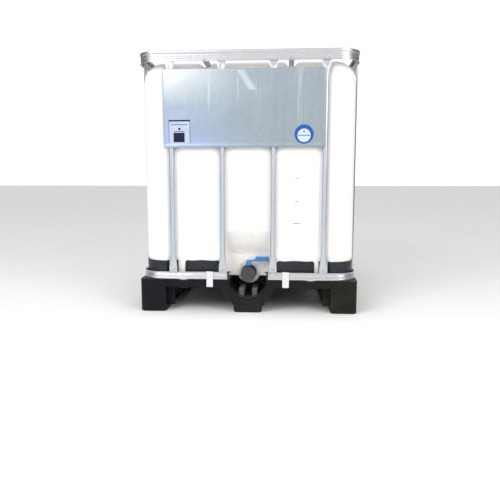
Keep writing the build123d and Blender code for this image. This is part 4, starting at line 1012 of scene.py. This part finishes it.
def studio():
    """White surroundings, a pale floor, soft lights and two dark cards that only reflections see."""
    world = bpy.data.worlds.new("white_room")
    world.use_nodes = True
    tree = world.node_tree
    white = tree.nodes["Background"]
    white.inputs["Color"].default_value = (1, 1, 1, 1)
    white.inputs["Strength"].default_value = 1.1
    room = tree.nodes.new("ShaderNodeBackground")
    room.inputs["Color"].default_value = (1.0, 0.985, 0.97, 1)
    direction = tree.nodes.new("ShaderNodeTexCoord").outputs["Generated"]
    lobe = tree.nodes.new("ShaderNodeVectorMath")
    lobe.operation = "DOT_PRODUCT"
    lobe.inputs[1].default_value = (0.0, -0.78, 0.62)
    tree.links.new(direction, lobe.inputs[0])
    level = tree.nodes.new("ShaderNodeMapRange")
    for socket, value in (("From Min", -0.35), ("From Max", 0.75), ("To Min", 0.40), ("To Max", 0.95)):
        level.inputs[socket].default_value = value
    tree.links.new(lobe.outputs["Value"], level.inputs["Value"])
    tree.links.new(level.outputs["Result"], room.inputs["Strength"])
    seen = tree.nodes.new("ShaderNodeLightPath").outputs["Is Camera Ray"]
    pick = tree.nodes.new("ShaderNodeMixShader")
    tree.links.new(seen, pick.inputs[0])
    tree.links.new(room.outputs[0], pick.inputs[1])
    tree.links.new(white.outputs[0], pick.inputs[2])
    tree.links.new(pick.outputs[0], tree.nodes["World Output"].inputs["Surface"])
    bpy.context.scene.world = world
    bpy.context.scene.view_settings.view_transform = "Standard"
    stage_panel("floor", (0, 0, 0), (40, 40), (0, 0, 0), floor_finish())
    card = moulded("card_dark", (0.14, 0.095, 0.075), (0.16, 0.11, 0.085), 0.9)
    for side in (-1, 1):
        name = "card_left" if side < 0 else "card_right"
        sheet = stage_panel(name, (side * 2.6, 0.2, 1.3), (1.3, 1.6), (0, np.radians(90), 0), card)
        sheet.visible_camera = False
        sheet.visible_shadow = False
        sheet.visible_diffuse = False
    area_light("key_left", (-2.2, -3.6, 2.8), (0, 0, 0.6), 2.4, 90, (0.95, 0.97, 1.0))
    area_light("key_right", (2.6, -3.2, 2.2), (0, 0, 0.6), 2.0, 55, (1.0, 0.97, 0.94))


def camera():
    """Standing in front, a little to the right, looking slightly down and left."""
    place, yaw, pitch = np.array([0.1744, -3.0147, 0.6172]), np.radians(-3.85), np.radians(7.65)
    forward = Vector((np.sin(yaw) * np.cos(pitch), np.cos(yaw) * np.cos(pitch), -np.sin(pitch)))
    lens = bpy.data.cameras.new("front_camera")
    lens.lens = 38.65
    lens.sensor_width = 36.0
    viewer = bpy.data.objects.new("front_camera", lens)
    viewer.location = place
    viewer.rotation_euler = forward.to_track_quat("-Z", "Y").to_euler()
    bpy.context.scene.collection.objects.link(viewer)
    bpy.context.scene.camera = viewer


# ---- assembly ----
DRESSED = {"plate_labels": PRINTED_FILM, "lid_gasket": SEAL_RUBBER, "cap_gasket": SEAL_RUBBER,
           "flange_gasket": SEAL_RUBBER, "butterfly_disc": DISC_WHITE, "valve_spindle": FIXING_ZINC}
CORNER_PANELS = [node for node in frame["nodes"] if "corner_panel" in node]
SOFTENED = {
    (PALLET_BLACK, 0.0015): ["skids"],
    (TRAY_BLACK, 0.0012): CORNER_PANELS + ["tray_floor"],
    (FIXING_ZINC, 0.0005): ["skid_screws", "crossbar_bolts", "lever_screw"],
    (CLIP_ZINC, 0.0008): ["plate_clips"],
    (TUBE_ZINC, 0.0008): ["left_crossbar", "right_crossbar"],
    (RING_ZINC, 0.0006): ["ring_joint_plate"],
    (PLUG_BLACK, 0.0010): ["ring_end_caps"],
    (VALVE_BLACK, 0.0010): ["valve_body", "union_nut"],
    (VENT_RED, 0.0012): ["vent_plug"],
    (LEVER_BLUE, 0.0012): ["valve_lever"],
}


def build():
    bottom_low, bottom_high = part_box("bottom_ring")
    ring("rolled_top_ring", RING_LOW.z, RING_HIGH.z, SEAM_GAP / 2, SEAM_X, True, "top_ring", 0)
    ring("rolled_bottom_ring", bottom_low.z, bottom_high.z, 0.094, 0.0, False, "bottom_ring", 1)
    cage_tubes()
    tube_fixings()
    plate()
    bottle()
    level_marks()
    beam_pads()
    outlet_cap()
    filling_lid()
    valve_trough()
    rim_panels()
    clips()
    clip_embossing()
    softened("pallet_deck", PALLET_BLACK, 0.0022, with_nodes=["left_feet", "centre_feet", "right_feet"])
    for node, material in DRESSED.items():
        dressed(node, material)
    for (material, width), nodes in SOFTENED.items():
        for node in nodes:
            softened(node, material, width)
    studio()
    camera()


build()
